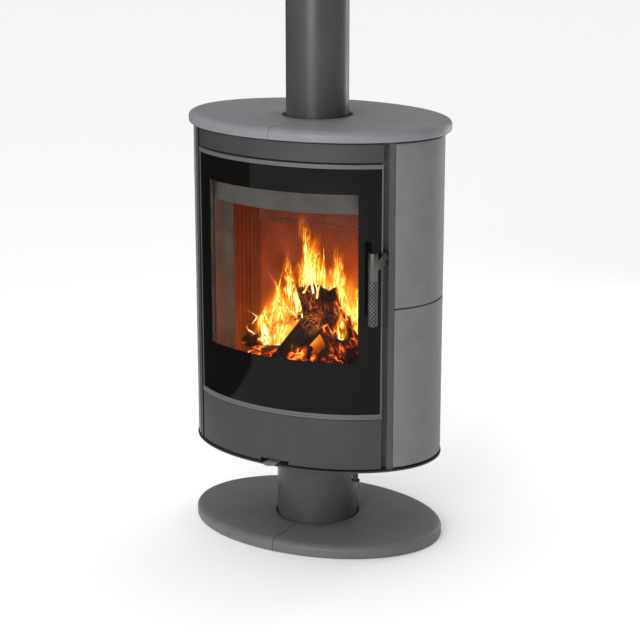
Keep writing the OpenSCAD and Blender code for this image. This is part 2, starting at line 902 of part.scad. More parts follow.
module handle_bracket() {
    face = arm_x - gap;
    color("#3a3a3c")
        difference() {
            translate([0, 0, pivot_z - 14])
                linear_extrude(28)
                    polygon([end_out + [0.3, 0.3], [face, end_out[1] + 1.6], [face, end_in[1]], end_in + [0.4, 0]]);
            translate([end_in[0], pivot_y, pivot_z])
                rotate([0, 90, 0])
                    cylinder(r = pivot_r, h = 40);
        }
}

module handle_pivot() {
    x0 = end_in[0] + 9.5;
    color("#b0b0b0")
        translate([x0, pivot_y, pivot_z])
            rotate([0, 90, 0]) {
                cylinder(r = pivot_r, h = arm_x + arm_t + 1.2 - x0);
                translate([0, 0, arm_x + arm_t + 0.3 - x0])
                    cylinder(r = pivot_r + 2.5, h = 1.5);
            }
}

// Flat arm: tapers to the bar in front, and hooks up behind the keeper at the back
module handle_arm() {
    lip_y = keeper_y + keeper_r + 2;
    color("#6a6a68")
        difference() {
            translate([arm_x, 0, 0])
                rotate([90, 0, 90])
                    linear_extrude(arm_t)
                        polygon([[bar_y + 2, pivot_z - 24], [pivot_y, pivot_z - 17.5],
                            [pivot_y + 14, pivot_z - 16], [lip_y + 6, pivot_z - 14],
                            [lip_y + 6, keeper_z - keeper_r - 0.5], [lip_y, keeper_z - keeper_r - 0.5],
                            [lip_y - 1.5, pivot_z - 4], [pivot_y + 14, pivot_z - 2],
                            [pivot_y + 8, pivot_z + 9], [pivot_y + 2, pivot_z + 15],
                            [pivot_y - 3, pivot_z + 15], [bar_y + 2, pivot_z - 5]]);
            translate([arm_x + arm_t / 2, bar_y, bar_z])
                cylinder(r = bar_r, h = bar_l);
            translate([arm_x - 1, pivot_y, pivot_z])
                rotate([0, 90, 0])
                    cylinder(r = pivot_r + run_fit, h = arm_t + 2);
        }
}

module handle_bar() {
    color("#6a6a68")
        translate([arm_x + arm_t / 2, bar_y, 0]) {
            translate([0, 0, bar_z + grip_l])
                cylinder(r = bar_r, h = bar_l - grip_l);
            translate([0, 0, bar_z])
                cylinder(r = bar_r - 3, h = grip_l + e);
        }
}

module handle_grip() {
    rings = 14;
    pitch = grip_l / rings;
    color("#56564e")
        translate([arm_x + arm_t / 2, bar_y, bar_z])
            difference() {
                cylinder(r = bar_r + 0.5, h = grip_l - 0.2);
                translate([0, 0, -1])
                    cylinder(r = bar_r - 3, h = grip_l + 2);
                for (k = [1 : rings - 1])
                    tube(bar_r + 3, bar_r - 0.6, pitch * k - 1, 2);
            }
}

module latch_keeper() {
    x0 = arm_x - 6;
    x1 = arm_x + arm_t + 6;
    y0 = keeper_y - keeper_r;
    y1 = keeper_y + 12;
    color("#8a8a8c") {
        block(x0, x1, y0, y1, keeper_z + 8, keeper_z + 11);
        block(x0, x0 + 3, y0, y1, keeper_z - 6, keeper_z + 8);
        block(x1 - 3, x1, y0, y1, keeper_z - 6, keeper_z + 8);
        translate([x0, keeper_y, keeper_z])
            rotate([0, 90, 0])
                cylinder(r = keeper_r, h = x1 - x0);
    }
}

floor_plate();
base_cladding_left();
base_cladding_right();
pedestal_column();
column_flange();
lower_race();
bearing_balls();
upper_race();
bottom_plate();
air_spigot();
lower_front_panel();
upper_front_panel();
front_profile_left();
front_profile_right();
front_frame();
side_panel_left();
side_panel_right();
tile_lower_left();
tile_lower_right();
tile_upper_left();
tile_upper_right();
tile_pads();
back_panel();
rear_profiles();
top_frame();
top_slab_left();
top_slab_right();
firebox_shell();
lining_left();
lining_right();
lining_back_left();
lining_back_right();
hearth_bricks();
grate();
ash_pan();
baffle();
air_rail();
flue_collar();
latch_keeper();
hinge_brackets();
hinge_pins();
hinge_washer();
air_guides();
panel_screws();
flue_pipe();
door_frame();
door_glass();
glass_seal();
door_top_rail();
door_bottom_rail();
door_trims();
door_seal();
handle_bracket();
handle_pivot();
handle_arm();
handle_bar();
handle_grip();
air_lever();
air_valve_knob();
air_valve_disc();
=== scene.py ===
# Oval wood burning stove on a pedestal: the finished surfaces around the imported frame.
import json
import math
import random

import bmesh
import bpy
from mathutils import Matrix, Vector, noise


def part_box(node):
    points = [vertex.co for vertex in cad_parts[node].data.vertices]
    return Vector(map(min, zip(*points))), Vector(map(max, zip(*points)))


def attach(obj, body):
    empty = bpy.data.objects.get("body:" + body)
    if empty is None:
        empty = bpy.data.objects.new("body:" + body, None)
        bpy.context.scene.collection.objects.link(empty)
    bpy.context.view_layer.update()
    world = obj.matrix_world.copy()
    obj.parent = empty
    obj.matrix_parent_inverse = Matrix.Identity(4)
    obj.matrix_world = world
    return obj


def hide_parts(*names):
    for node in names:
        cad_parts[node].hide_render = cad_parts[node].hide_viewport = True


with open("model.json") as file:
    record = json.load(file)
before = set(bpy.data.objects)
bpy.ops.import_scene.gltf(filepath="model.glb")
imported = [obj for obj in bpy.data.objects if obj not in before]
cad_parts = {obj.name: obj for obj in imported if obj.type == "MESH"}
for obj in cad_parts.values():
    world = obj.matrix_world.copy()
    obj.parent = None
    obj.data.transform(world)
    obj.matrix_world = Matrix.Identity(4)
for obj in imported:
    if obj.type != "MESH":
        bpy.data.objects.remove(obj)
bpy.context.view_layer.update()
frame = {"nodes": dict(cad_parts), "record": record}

mm = 0.001
scene = bpy.context.scene
sides = ((-1, "Left"), (1, "Right"))


# nodes in rows

def hexColour(code):
    parts = [int(code[k:k + 2], 16) / 255 for k in (1, 3, 5)]
    return tuple(p / 12.92 if p <= 0.04045 else ((p + 0.055) / 1.055) ** 2.4 for p in parts) + (1.0,)


def outputOf(source):
    # a socket itself, or a node's first output in use
    if isinstance(source, bpy.types.NodeSocket):
        return source
    return next(socket for socket in source.outputs if socket.enabled)


def addNode(tree, kind, settings, links):
    # settings are attributes and values of inputs, or the stops of a ramp; links are (input, source) pairs
    families = ("ShaderNode", "GeometryNode", "FunctionNode", "Node")
    node = tree.nodes.new(next(f + kind for f in families if hasattr(bpy.types, f + kind)))
    if isinstance(settings, list):
        elements = node.color_ramp.elements
        while len(elements) < len(settings):
            elements.new(0.5)
        for element, (place, colour) in zip(elements, settings):
            element.position, element.color = place, hexColour(colour)
        settings = {}
    for key, value in settings.items():
        if isinstance(key, str) and hasattr(node, key):
            setattr(node, key, value)
        else:
            node.inputs[key].default_value = value
    for key, source in links:
        tree.links.new(outputOf(source), node.inputs[key])
    return node


def addRows(tree, made, rows):
    # rows are label: (kind, settings, links); links are input: source, or the sources of the first inputs;
    # a source names one or more earlier rows, each with .output where it isn't the first
    for label, (kind, settings, links) in rows.items():
        if not isinstance(links, dict):
            links = dict(enumerate([links] if isinstance(links, str) else links))
        pairs = []
        for key, names in links.items():
            for name in names.split(" + "):
                row, _, output = name.partition(".")
                pairs.append((key, made[row].outputs[output] if output else made[row]))
        made[label] = addNode(tree, kind, settings, pairs)


def surface(name, values, rows=None):
    # a material: values sit on the shader's own sockets, and a row named after a socket feeds that socket
    material = bpy.data.materials.new(name)
    material.use_nodes = True
    tree = material.node_tree
    shader = tree.nodes["Principled BSDF"]
    for key, value in values.items():
        shader.inputs[key].default_value = hexColour(value) if isinstance(value, str) else value
    made = {"object": addNode(tree, "TexCoord", {}, []).outputs["Object"]} if rows else {}
    addRows(tree, made, rows or {})
    for label in made:
        if label in shader.inputs:
            tree.links.new(outputOf(made[label]), shader.inputs[label])
    return material


def span(fromLow, fromHigh, low=0.0, high=1.0):
    return {"From Min": fromLow, "From Max": fromHigh, "To Min": low, "To Max": high}


def lumps(sizeMm, detail=2, roughness=0.5, distortion=0.0):
    # settings of a noise whose lumps measure sizeMm
    return {"Scale": 1000 / sizeMm, "Detail": detail, "Roughness": roughness, "Distortion": distortion}


times = {"operation": "MULTIPLY"}
absolute = {"operation": "ABSOLUTE"}
smooth = {"interpolation_type": "SMOOTHSTEP"}


# camera and studio

studio = {
    "cameraAt": (2.0485, -3.8001, 1.7240),
    "cameraTurn": (74.46, 0.0, 28.25),          # degrees
    "lens": 103.0,                              # mm on the sensor
    "sensor": 36,
    "floorSize": 40.0,
    "floorTone": "#ffffff",
    "backdrop": 0.93,                           # what the camera sees behind the stove
    "skyLight": 1.2,
    "rightDim": 0.1,                            # the sky's share on the right side of the stove
    "flagged": 0.3,                             # dark cards stand where the gloss would show the sky
    "glossCard": (-1.15, -1.25, 1.4, 1.3),      # x, y, y and height of a dark card that only gloss shows
    "keyLight": (85, 2.0, 2.0, (0.5, -4.6, 1.9), (0, 0, 0.5)),      # watts, width, height, place, target
    "rimLight": (16, 0.4, 2.4, (0.9, 2.4, 1.0), (0, 0, 0.7)),
}


def addObject(name, data):
    thing = bpy.data.objects.new(name, data)
    scene.collection.objects.link(thing)
    return thing


def makeCamera():
    data = bpy.data.cameras.new("camera")
    data.lens, data.sensor_width = studio["lens"], studio["sensor"]
    camera = addObject("camera", data)
    camera.location = studio["cameraAt"]
    camera.rotation_euler = [math.radians(a) for a in studio["cameraTurn"]]
    scene.camera = camera


def makeSky():
    world = bpy.data.worlds.new("studio")
    world.use_nodes = True
    scene.world = world
    world.node_tree.nodes.clear()
    addRows(world.node_tree, {}, {
        "ray": ("LightPath", {}, {}),
        "coords": ("TexCoord", {}, {}),
        "soft": ("Mix", {"A": studio["skyLight"], "B": studio["flagged"]}, {"Factor": "ray.Is Glossy Ray"}),
        "way": ("SeparateXYZ", {}, "coords.Generated"),
        "side": ("MapRange", span(0.0, 0.9, 1.0, studio["rightDim"]), "way.X"),
        "dimmed": ("Math", times, ("soft", "side")),
        "level": ("Mix", {"B": studio["backdrop"]}, {"Factor": "ray.Is Camera Ray", "A": "dimmed"}),
        "sky": ("Background", {"Color": (1, 1, 1, 1)}, {"Strength": "level"}),
        "world": ("OutputWorld", {}, {"Surface": "sky"}),
    })
    scene.view_settings.view_transform = "Standard"


def makeSheet(name, corners, material):
    mesh = bpy.data.meshes.new(name)
    mesh.from_pydata(corners, [], [(0, 1, 2, 3)])
    mesh.materials.append(material)
    return addObject(name, mesh)


def makeStage():
    half = studio["floorSize"] / 2
    corners = [(-half, -half, 0), (half, -half, 0), (half, half, 0), (-half, half, 0)]
    paper = surface("floorPaper", {"Base Color": studio["floorTone"], "Roughness": 0.9})
    makeSheet("floor", corners, paper)
    for name in ("keyLight", "rimLight"):
        power, wide, high, place, target = studio[name]
        data = bpy.data.lights.new(name, "AREA")
        data.shape, data.size, data.size_y, data.energy = "RECTANGLE", wide, high, power
        lamp = addObject(name, data)
        lamp.location = place
        lamp.rotation_euler = (Vector(target) - Vector(place)).to_track_quat("-Z", "Y").to_euler()
        lamp.visible_camera = False
    x, y0, y1, tall = studio["glossCard"]
    card = makeSheet("glossCard", [(x, y0, 0), (x, y1, 0), (x, y1, tall), (x, y0, tall)],
                     surface("blackFelt", {"Base Color": "#0a0a0a"}))
    card.visible_camera = card.visible_diffuse = card.visible_shadow = card.visible_transmission = False


makeCamera()
makeSky()
makeStage()
print("camera and studio ready")


# materials

def stovePaint(name, dark, light, roughness):
    # heat-proof silicone paint sprayed on sheet steel: matt, with a fine dry orange peel and faint clouds
    return surface(name, {"IOR": 1.45}, {
        "clouds": ("TexNoise", lumps(140), "object"),
        "grain": ("TexNoise", lumps(0.9), "object"),
        "both": ("Mix", {"Factor": 0.35}, {"A": "clouds", "B": "grain"}),
        "Base Color": ("ValToRGB", [(0.35, dark), (0.65, light)], "both"),
        "Roughness": ("MapRange", span(0.3, 0.7, roughness - 0.05, roughness + 0.06), "clouds"),
        "Normal": ("Bump", {"Strength": 0.25, "Distance": 0.12 * mm}, {"Height": "grain"}),
    })


def firedCeramic(name, dark, light, roughness):
    # cast and fired ceramic with a thin satin engobe: soft mottling, tiny pits, faint waves in the surface;
    # real grit is near 0.4 mm, drawn coarser so that it shows
    return surface(name, {"IOR": 1.5}, {
        "mottle": ("TexNoise", lumps(46, 4, 0.6), "object"),
        "grit": ("TexNoise", lumps(1.3), "object"),
        "waves": ("TexNoise", lumps(90, 1), "object"),
        "mixed": ("Mix", {"Factor": 0.3}, {"A": "mottle", "B": "grit"}),
        "Base Color": ("ValToRGB", [(0.32, dark), (0.68, light)], "mixed"),
        "Roughness": ("MapRange", span(0.3, 0.7, roughness - 0.05, roughness + 0.08), "grit"),
        "pits": ("Bump", {"Strength": 0.22, "Distance": 0.15 * mm}, {"Height": "grit"}),
        "Normal": ("Bump", {"Strength": 0.25, "Distance": 0.6 * mm}, {"Height": "waves", "Normal": "pits"}),
    })


def millSteel(name, dark, light, roughness):
    # drawn or ground steel: fine lines along the draw, a clear metal sheen
    return surface(name, {"Metallic": 1.0}, {
        "drawn": ("Mapping", {"Scale": (1, 1, 12)}, "object"),
        "lines": ("TexNoise", lumps(5, 4), "drawn"),
        "Base Color": ("ValToRGB", [(0.3, dark), (0.7, light)], "lines"),
        "Roughness": ("MapRange", span(0.3, 0.7, roughness - 0.08, roughness + 0.1), "lines"),
        "Normal": ("Bump", {"Strength": 0.15, "Distance": 0.05 * mm}, {"Height": "lines"}),
    })


def castIron(name):
    # sand-cast iron: dark, coarse sandy skin with a little burnt brown
    return surface(name, {"Metallic": 0.6, "Roughness": 0.7}, {
        "sand": ("TexNoise", lumps(2.2, 4), "object"),
        "burnt": ("TexNoise", lumps(35, 3), "object"),
        "Base Color": ("ValToRGB", [(0.35, "#1c1a19"), (0.6, "#2e2926"), (0.75, "#4a352a")],
                       "burnt"),
        "Normal": ("Bump", {"Strength": 0.5, "Distance": 0.4 * mm}, {"Height": "sand"}),
    })


def pressedLining(name, dark, light, glow):
    # pressed chamotte board: grainy, matt and sooty, with a dark joint where two boards meet; the fire's
    # light on it is painted as an orange emission, strongest at the hearth and fading upwards
    return surface(name, {"IOR": 1.5, "Roughness": 0.9}, {
        "grain": ("TexNoise", lumps(3, 5, 0.65), "object"),
        "tall": ("Mapping", {"Scale": (1, 1, 0.5)}, "object"),
        "soot": ("TexNoise", lumps(60, 3), "tall"),
        "base": ("ValToRGB", [(0.3, dark), (0.7, light)], "grain"),
        "shade": ("MapRange", span(0.35, 0.6, 0.7, 1.0), "soot"),
        "Base Color": ("Mix", {"data_type": "RGBA", "blend_type": "MULTIPLY", "Factor": 1.0},
                       {6: "base", 7: "shade"}),
        # painted firelight: an orange emission that is strongest at the hearth and fades upwards
        "place": ("SeparateXYZ", {}, "object"),
        "height": ("MapRange", span(0.42, 0.84), "place.Z"),
        "Emission Color": ("ValToRGB", [(0.0, "#b85a10"), (0.3, "#aa4808"), (0.6, "#842d03"),
                                                  (1.0, "#3c0e01")], "height"),
        "power": ("MapRange", span(0.35, 0.6, glow * 0.75, glow), "soot"),
        "offJoint": ("Math", absolute, "place.X"),
        "joint": ("MapRange", span(1 * mm, 4 * mm, 0.25), "offJoint"),
        "Emission Strength": ("Math", times, ("power", "joint")),
        "Normal": ("Bump", {"Strength": 0.4, "Distance": 0.4 * mm}, {"Height": "grain"}),
    })


def glassRope(name):
    # knitted glass fibre rope: off-white threads a millimetre apart, slightly sooty
    return surface(name, {"Roughness": 0.95, "Sheen Weight": 0.3}, {
        "along": ("Mapping", {"Scale": (1, 1, 2)}, "object"),
        "threads": ("TexNoise", lumps(1.2, 3), "along"),
        "soot": ("TexNoise", lumps(30, 3), "object"),
        "Base Color": ("ValToRGB", [(0.3, "#8f8a7e"), (0.6, "#c9c4b6")], "soot"),
        "Normal": ("Bump", {"Strength": 0.7, "Distance": 0.4 * mm}, {"Height": "threads"}),
    })


def ceramicGlass(name):
    # clear glass ceramic, fire polished: thin weak reflections, a warm tint and a breath of soot in clouds;
    # the index is lower than the glass's own because the real pane shows almost no floor in it
    return surface(name, {"IOR": 1.13, "Transmission Weight": 1.0, "Roughness": 0.0}, {
        "haze": ("TexNoise", lumps(70, 3), "object"),
        "Base Color": ("ValToRGB", [(0.4, "#f6f3ee"), (0.8, "#dfd8cc")], "haze"),
    })


def glassPrint(name):
    # black enamel screen-printed and fired on the glass: deep black, gloss of the glass in front of it
    return surface(name, {"IOR": 1.45, "Specular IOR Level": 0.14}, {
        "dust": ("TexNoise", lumps(1.5), "object"),
        "clouds": ("TexNoise", lumps(120), "object"),
        "Base Color": ("ValToRGB", [(0.4, "#0a0a09"), (0.7, "#100f0e")], "dust"),
        "Roughness": ("MapRange", span(0.3, 0.7, 0.05, 0.11), "clouds"),
    })


def firedSteel(name, dark, light, glow, power):
    # steel plate that has been through many fires: scaled, dull, tinted by the heat, with painted firelight as
    # emission
    return surface(name, {"IOR": 1.5, "Roughness": 0.75, "Emission Color": glow}, {
        "scale": ("TexNoise", lumps(9, 4, 0.6), "object"),
        "tint": ("TexNoise", lumps(70), "object"),
        "mixed": ("Mix", {"Factor": 0.4}, {"A": "tint", "B": "scale"}),
        "Base Color": ("ValToRGB", [(0.35, dark), (0.65, light)], "mixed"),
        # painted firelight, uneven in clouds
        "Emission Strength": ("MapRange", span(0.3, 0.7, power * 0.6, power), "tint"),
        "Normal": ("Bump", {"Strength": 0.3, "Distance": 0.3 * mm}, {"Height": "scale"}),
    })


finishes = {
    "floor_steel": stovePaint("paintedFloorPlate", "#2c2c2d", "#353536", 0.52),
    # a darker grey than the other ceramic as painted shade under the stove body
    "base_ceramic": firedCeramic("firedBaseCladding", "#5e5e61", "#68686b", 0.5),
    "column_paint": stovePaint("sprayedColumnPaint", "#404041", "#494a4a", 0.36),
    "bearing_steel": millSteel("groundBearingSteel", "#6e6e70", "#8a8a8c", 0.35),
    "body_steel": stovePaint("paintedBodySteel", "#303031", "#393939", 0.55),
    "front_panel_paint": stovePaint("sprayedFrontPaint", "#343435", "#3b3b3c", 0.5),
    "profile_steel": stovePaint("sprayedProfilePaint", "#434343", "#4a4a4a", 0.42),
    "front_frame_paint": stovePaint("sprayedFrontFrame", "#57575a", "#606063", 0.55),
    "tile_ceramic": firedCeramic("firedSideTile", "#6d6d70", "#767679", 0.6),
    # a lighter grey than the tiles as painted light falling on the top
    "slab_ceramic": firedCeramic("firedTopSlab", "#77777b", "#808084", 0.45),
    "lining_brick": pressedLining("pressedChamotte", "#5c2708", "#883c0e", 0.55),
    "grate_iron": castIron("sandCastIron"),
    "pan_steel": millSteel("foldedPanSteel", "#3a3836", "#565350", 0.5),
    "pipe_paint": stovePaint("sprayedPipePaint", "#3d3d3e", "#464647", 0.36),
    "glass": ceramicGlass("ceramicGlass"),
    "seal_rope": glassRope("knittedGlassRope"),
    "door_rail_steel": stovePaint("sprayedDoorRail", "#545451", "#5e5e5b", 0.38),
    "handle_steel": millSteel("brushedHandleSteel", "#535351", "#6c6c6a", 0.42),
    # the steel lever is a matt light grey: painted reflection of the bright studio in its tab
    "lever_steel": stovePaint("phosphatedLeverSteel", "#7c7c7d", "#8c8c8d", 0.4),
    "washer_brass": millSteel("turnedBrass", "#a07c34", "#c39c4a", 0.3),
    "rubber_pads": stovePaint("castRubber", "#161616", "#1c1c1c", 0.85),
    "knob_black": stovePaint("mouldedKnob", "#262626", "#303030", 0.3),
}
printBlack = glassPrint("firedBlackPrint")
# near-black core under the grip's wires: painted shade in the lattice's pits
gripCoreShade = stovePaint("blackenedSteel", "#0b0b0b", "#121212", 0.6)
# the ribs and the board between them are lit and shaded copies of one chamotte: the board's darker tone and
# weaker glow are painted shade in the grooves
ribbedBoard = pressedLining("ribbedChamotte", "#4a2008", "#6e3210", 0.3)
shadedBoard = pressedLining("sootedChamotte", "#1a0b05", "#281108", 0.10)
ridgeSteel = millSteel("polishedRidgeSteel", "#747472", "#90908d", 0.38)
# the firebox shell's inner walls and the air rail carry painted firelight as emission
insideSteel = firedSteel("scaledShellSteel", "#4a4744", "#5c5853", "#563e2a", 0.25)
firelitRailSteel = firedSteel("heatTintedSteel", "#3c1c10", "#56291a", "#6c2408", 0.6)
print("materials ready:", len(finishes))


# mesh tools

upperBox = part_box("upper_front_panel")
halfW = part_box("tile_upper_right")[1].x     # the oval through the tile faces
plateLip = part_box("bottom_plate")[1].x - halfW
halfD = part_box("bottom_plate")[1].y - plateLip
frontSet = halfD + upperBox[0].y


def angleAt(x, depth):
    return math.degrees(math.asin(max(-1, min(1, x / (halfW - depth)))))


def rearAngle(y, depth):
    return math.degrees(math.acos(-y / (halfD - depth)))


doorEnd = angleAt(upperBox[1].x, frontSet)


def onOval(depth, angle):
    # depth inwards from the tile faces, angle from the middle of the front towards +X
    a = math.radians(angle)
    return Vector(((halfW - depth) * math.sin(a), -(halfD - depth) * math.cos(a)))


def sideReach(node):
    # how near and how far a piece on one side lies from the middle
    low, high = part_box(node)
    return sorted((abs(low.x), abs(high.x)))


def middleOf(node):
    low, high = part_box(node)
    return ((low.x + high.x) / 2, (low.y + high.y) / 2)


def marks(ends, step=1.5):
    # the given ends, with even steps between each pair
    places = []
    for low, high in zip(ends, ends[1:]):
        count = max(1, math.ceil((high - low) / step - 1e-6))
        places += [low + (high - low) * k / count for k in range(count)]
    return places + [ends[-1]]


def bridge(count, size, closed=False):
    # faces from each ring of points to the next; an open row of rings gets a face at both ends
    faces = []
    for i in range(count if closed else count - 1):
        here, there = i * size, (i + 1) % count * size
        faces += [[here + k, here + (k + 1) % size, there + (k + 1) % size, there + k] for k in range(size)]
    if not closed:
        faces += [list(range(size)), [(count - 1) * size + k for k in reversed(range(size))]]
    return faces


def finishMesh(work, name):
    bmesh.ops.recalc_face_normals(work, faces=work.faces)
    mesh = bpy.data.meshes.new(name)
    work.to_mesh(mesh)
    work.free()
    return mesh


def toMesh(name, verts, faces):
    work = bmesh.new()
    made = [work.verts.new(v) for v in verts]
    for face in faces:
        if len({tuple(round(c, 7) for c in verts[k]) for k in face}) > 2:
            work.faces.new([made[k] for k in face])
    bmesh.ops.remove_doubles(work, verts=work.verts, dist=1e-6)
    return finishMesh(work, name)


def curvedWall(name, depths, angles, heights, holes=(), step=1.5):
    # sheet between two depths; holes are (angle, angle, height, height)
    tMarks = marks(sorted({*angles, *[t for h in holes for t in h[:2] if angles[0] < t < angles[1]]}), step)
    zMarks = sorted({*heights, *[z for h in holes for z in h[2:] if heights[0] < z < heights[1]]})
    kept = set()
    for i, (t0, t1) in enumerate(zip(tMarks, tMarks[1:])):
        for j, (z0, z1) in enumerate(zip(zMarks, zMarks[1:])):
            t, z = (t0 + t1) / 2, (z0 + z1) / 2
            if not any(h[0] < t < h[1] and h[2] < z < h[3] for h in holes):
                kept.add((i, j))
    rows = len(zMarks)
    verts = [(*onOval(d, t), z) for d in depths for t in tMarks for z in zMarks]
    behind = len(tMarks) * rows
    faces = []
    for i, j in sorted(kept):
        corners = [i * rows + j, (i + 1) * rows + j, (i + 1) * rows + j + 1, i * rows + j + 1]
        faces += [corners, [c + behind for c in reversed(corners)]]
        for k, beside in enumerate(((i, j - 1), (i + 1, j), (i, j + 1), (i - 1, j))):
            if beside not in kept:
                a, b = corners[k], corners[(k + 1) % 4]
                faces.append([b, a, a + behind, b + behind])
    return toMesh(name, verts, faces)


def sweptBar(name, section, angles):
    # a closed section of (depth, height) points carried round the oval between two angles
    tMarks = marks(angles)
    verts = [(*onOval(d, t), z) for t in tMarks for d, z in section]
    return toMesh(name, verts, bridge(len(tMarks), len(section)))


def turnedShape(name, section, centre=(0, 0), count=96):
    # a closed section of (radius, height) points turned round a vertical axis
    turns = [2 * math.pi * k / count for k in range(count)]
    verts = [(centre[0] + r * math.cos(a), centre[1] + r * math.sin(a), z) for a in turns for r, z in section]
    return toMesh(name, verts, bridge(count, len(section), closed=True))


def platePiece(name, loops, low, high):
    # flat plate with holes: the first loop is the outline
    work = bmesh.new()
    for points in loops:
        ring = [work.verts.new((p[0], p[1], low)) for p in points]
        for a, b in zip(ring, ring[1:] + ring[:1]):
            work.edges.new((a, b))
    bmesh.ops.triangle_fill(work, use_beauty=True, use_dissolve=False, edges=work.edges[:])
    top = bmesh.ops.extrude_face_region(work, geom=work.faces[:])["geom"]
    lifted = [v for v in top if isinstance(v, bmesh.types.BMVert)]
    bmesh.ops.translate(work, vec=(0, 0, high - low), verts=lifted)
    return finishMesh(work, name)


def ovalLoop(depth):
    return [onOval(depth, t) for t in marks((0, 360))[:-1]]


def roundLoop(radius, centre=(0, 0), count=64):
    return [(centre[0] + radius * math.cos(2 * math.pi * k / count),
             centre[1] + radius * math.sin(2 * math.pi * k / count)) for k in range(count)]


def mirrored(points, side):
    return points if side > 0 else [(-p[0], p[1]) for p in points]


slotOf = {part["node"]: part["material_slot"] for part in frame["record"]["subparts"]}
bodyOf = {node: body for body, nodes in frame["record"]["behaviour"]["bodies"].items() for node in nodes}


def showPiece(mesh, node, edge=0.0, material=None, extra=False, slot=None, segments=3, crease=34):
    # puts a finished mesh on the node's body, with rounded edges; an extra piece replaces nothing
    obj = addObject(mesh.name, mesh)
    slot = slot or slotOf[node]
    mesh.materials.clear()
    mesh.materials.append(material or finishes[slot])
    mesh.polygons.foreach_set("use_smooth", [True] * len(mesh.polygons))
    mesh.set_sharp_from_angle(angle=math.radians(crease))
    if edge:
        rounding = obj.modifiers.new("edge", "BEVEL")
        rounding.width, rounding.segments = edge, segments
        rounding.limit_method, rounding.angle_limit = "ANGLE", math.radians(38)
        rounding.harden_normals = True
    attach(obj, bodyOf[node])
    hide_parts(*([] if extra else [node]))


# slabs

slabShape = {
    "crown": 19 * mm,       # width of the soft roll at the upper edge
    "crownDrop": 12 * mm,
    "heel": 5 * mm,         # radius at the lower edge
    "holeEdge": 1.5 * mm,
    "edge": 0.9 * mm,
    "pipeGap": 9 * mm,
    "columnGap": 3 * mm,
}


def slabHalf(name, node, side, holeRadius):
    low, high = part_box(node)
    crown, drop, heel, hole = (slabShape[k] for k in ("crown", "crownDrop", "heel", "holeEdge"))
    thick = high.z - low.z
    seam, a = sideReach(node)
    b, shift = (high.y - low.y) / 2, (high.y + low.y) / 2
    quarter = [math.radians(90 * k / 8) for k in range(9)]
    rim = [(crown * (1 - math.sin(q)), thick - drop * (1 - math.cos(q))) for q in quarter]    # inset, height
    quarter = [math.radians(90 * k / 5) for k in range(6)]
    rim += [(heel * (1 - math.cos(q)), heel * (1 - math.sin(q))) for q in quarter]
    inside = [(0, 0), (0, thick - hole), (hole * 0.4, thick - hole * 0.3), (hole, thick)]

    def column(angle):
        way = Vector((math.sin(math.radians(angle)), -math.cos(math.radians(angle))))
        points = [(way * (holeRadius + out), z) for out, z in inside]
        edge = Vector(((a - crown) * way.x, (b - crown) * way.y + shift))
        points += [((way * (holeRadius + hole)).lerp(edge, k / 6), thick) for k in range(1, 6)]
        points += [(Vector(((a - inset) * way.x, (b - inset) * way.y + shift)), z) for inset, z in rim]
        return [(side * max(side * p.x, seam), p.y, low.z + z) for p, z in points]

    columns = [column(t) for t in marks((0, 180) if side > 0 else (180, 360))]
    verts = [p for c in columns for p in c]
    mesh = toMesh(name, verts, bridge(len(columns), len(columns[0])))
    showPiece(mesh, node, slabShape["edge"], segments=2)


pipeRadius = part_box("flue_pipe")[1].x
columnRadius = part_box("pedestal_column")[1].x
for side, word in sides:
    slabHalf("topSlab" + word, "top_slab_" + word.lower(), side, pipeRadius + slabShape["pipeGap"])
    slabHalf("baseCladding" + word, "base_cladding_" + word.lower(), side,
             columnRadius + slabShape["columnGap"])
print("slabs ready")


# pedestal and pipe

tubes = {
    "columnWall": 3 * mm,
    "columnEdge": 0.6 * mm,
    "pipeWall": 2 * mm,
    "swageLength": 50 * mm,     # the pipe's drawn-in end
    "swageDrop": 2.5 * mm,
    "facets": 128,
}


def makeColumn():
    low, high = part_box("pedestal_column")
    r, w, e = columnRadius, tubes["columnWall"], tubes["columnEdge"]
    section = [(r - w, low.z), (r, low.z), (r, high.z - e), (r - e, high.z), (r - w + e, high.z),
               (r - w, high.z - e)]
    showPiece(turnedShape("pedestalColumn", section, count=tubes["facets"]), "pedestal_column")


def makePipe():
    low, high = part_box("flue_pipe")
    r, w, n = pipeRadius, tubes["pipeWall"], pipeRadius - tubes["swageDrop"]
    neck, top = high.z - tubes["swageLength"], high.z - 0.5 * mm
    section = [(r - w, low.z), (r - 0.3 * mm, low.z), (r, low.z + 0.4 * mm), (r, neck - 5 * mm),
               (r - 0.4 * mm, neck - 3 * mm), (n + 0.4 * mm, neck + 1 * mm), (n, neck + 3 * mm), (n, top),
               (n - 0.5 * mm, high.z), (n - w + 0.3 * mm, high.z), (n - w, top), (n - w, neck + 3 * mm),
               (r - w, neck - 4 * mm)]
    showPiece(turnedShape("fluePipe", section, count=tubes["facets"]), "flue_pipe")


makeColumn()
makePipe()
print("pedestal and pipe ready")


# casing

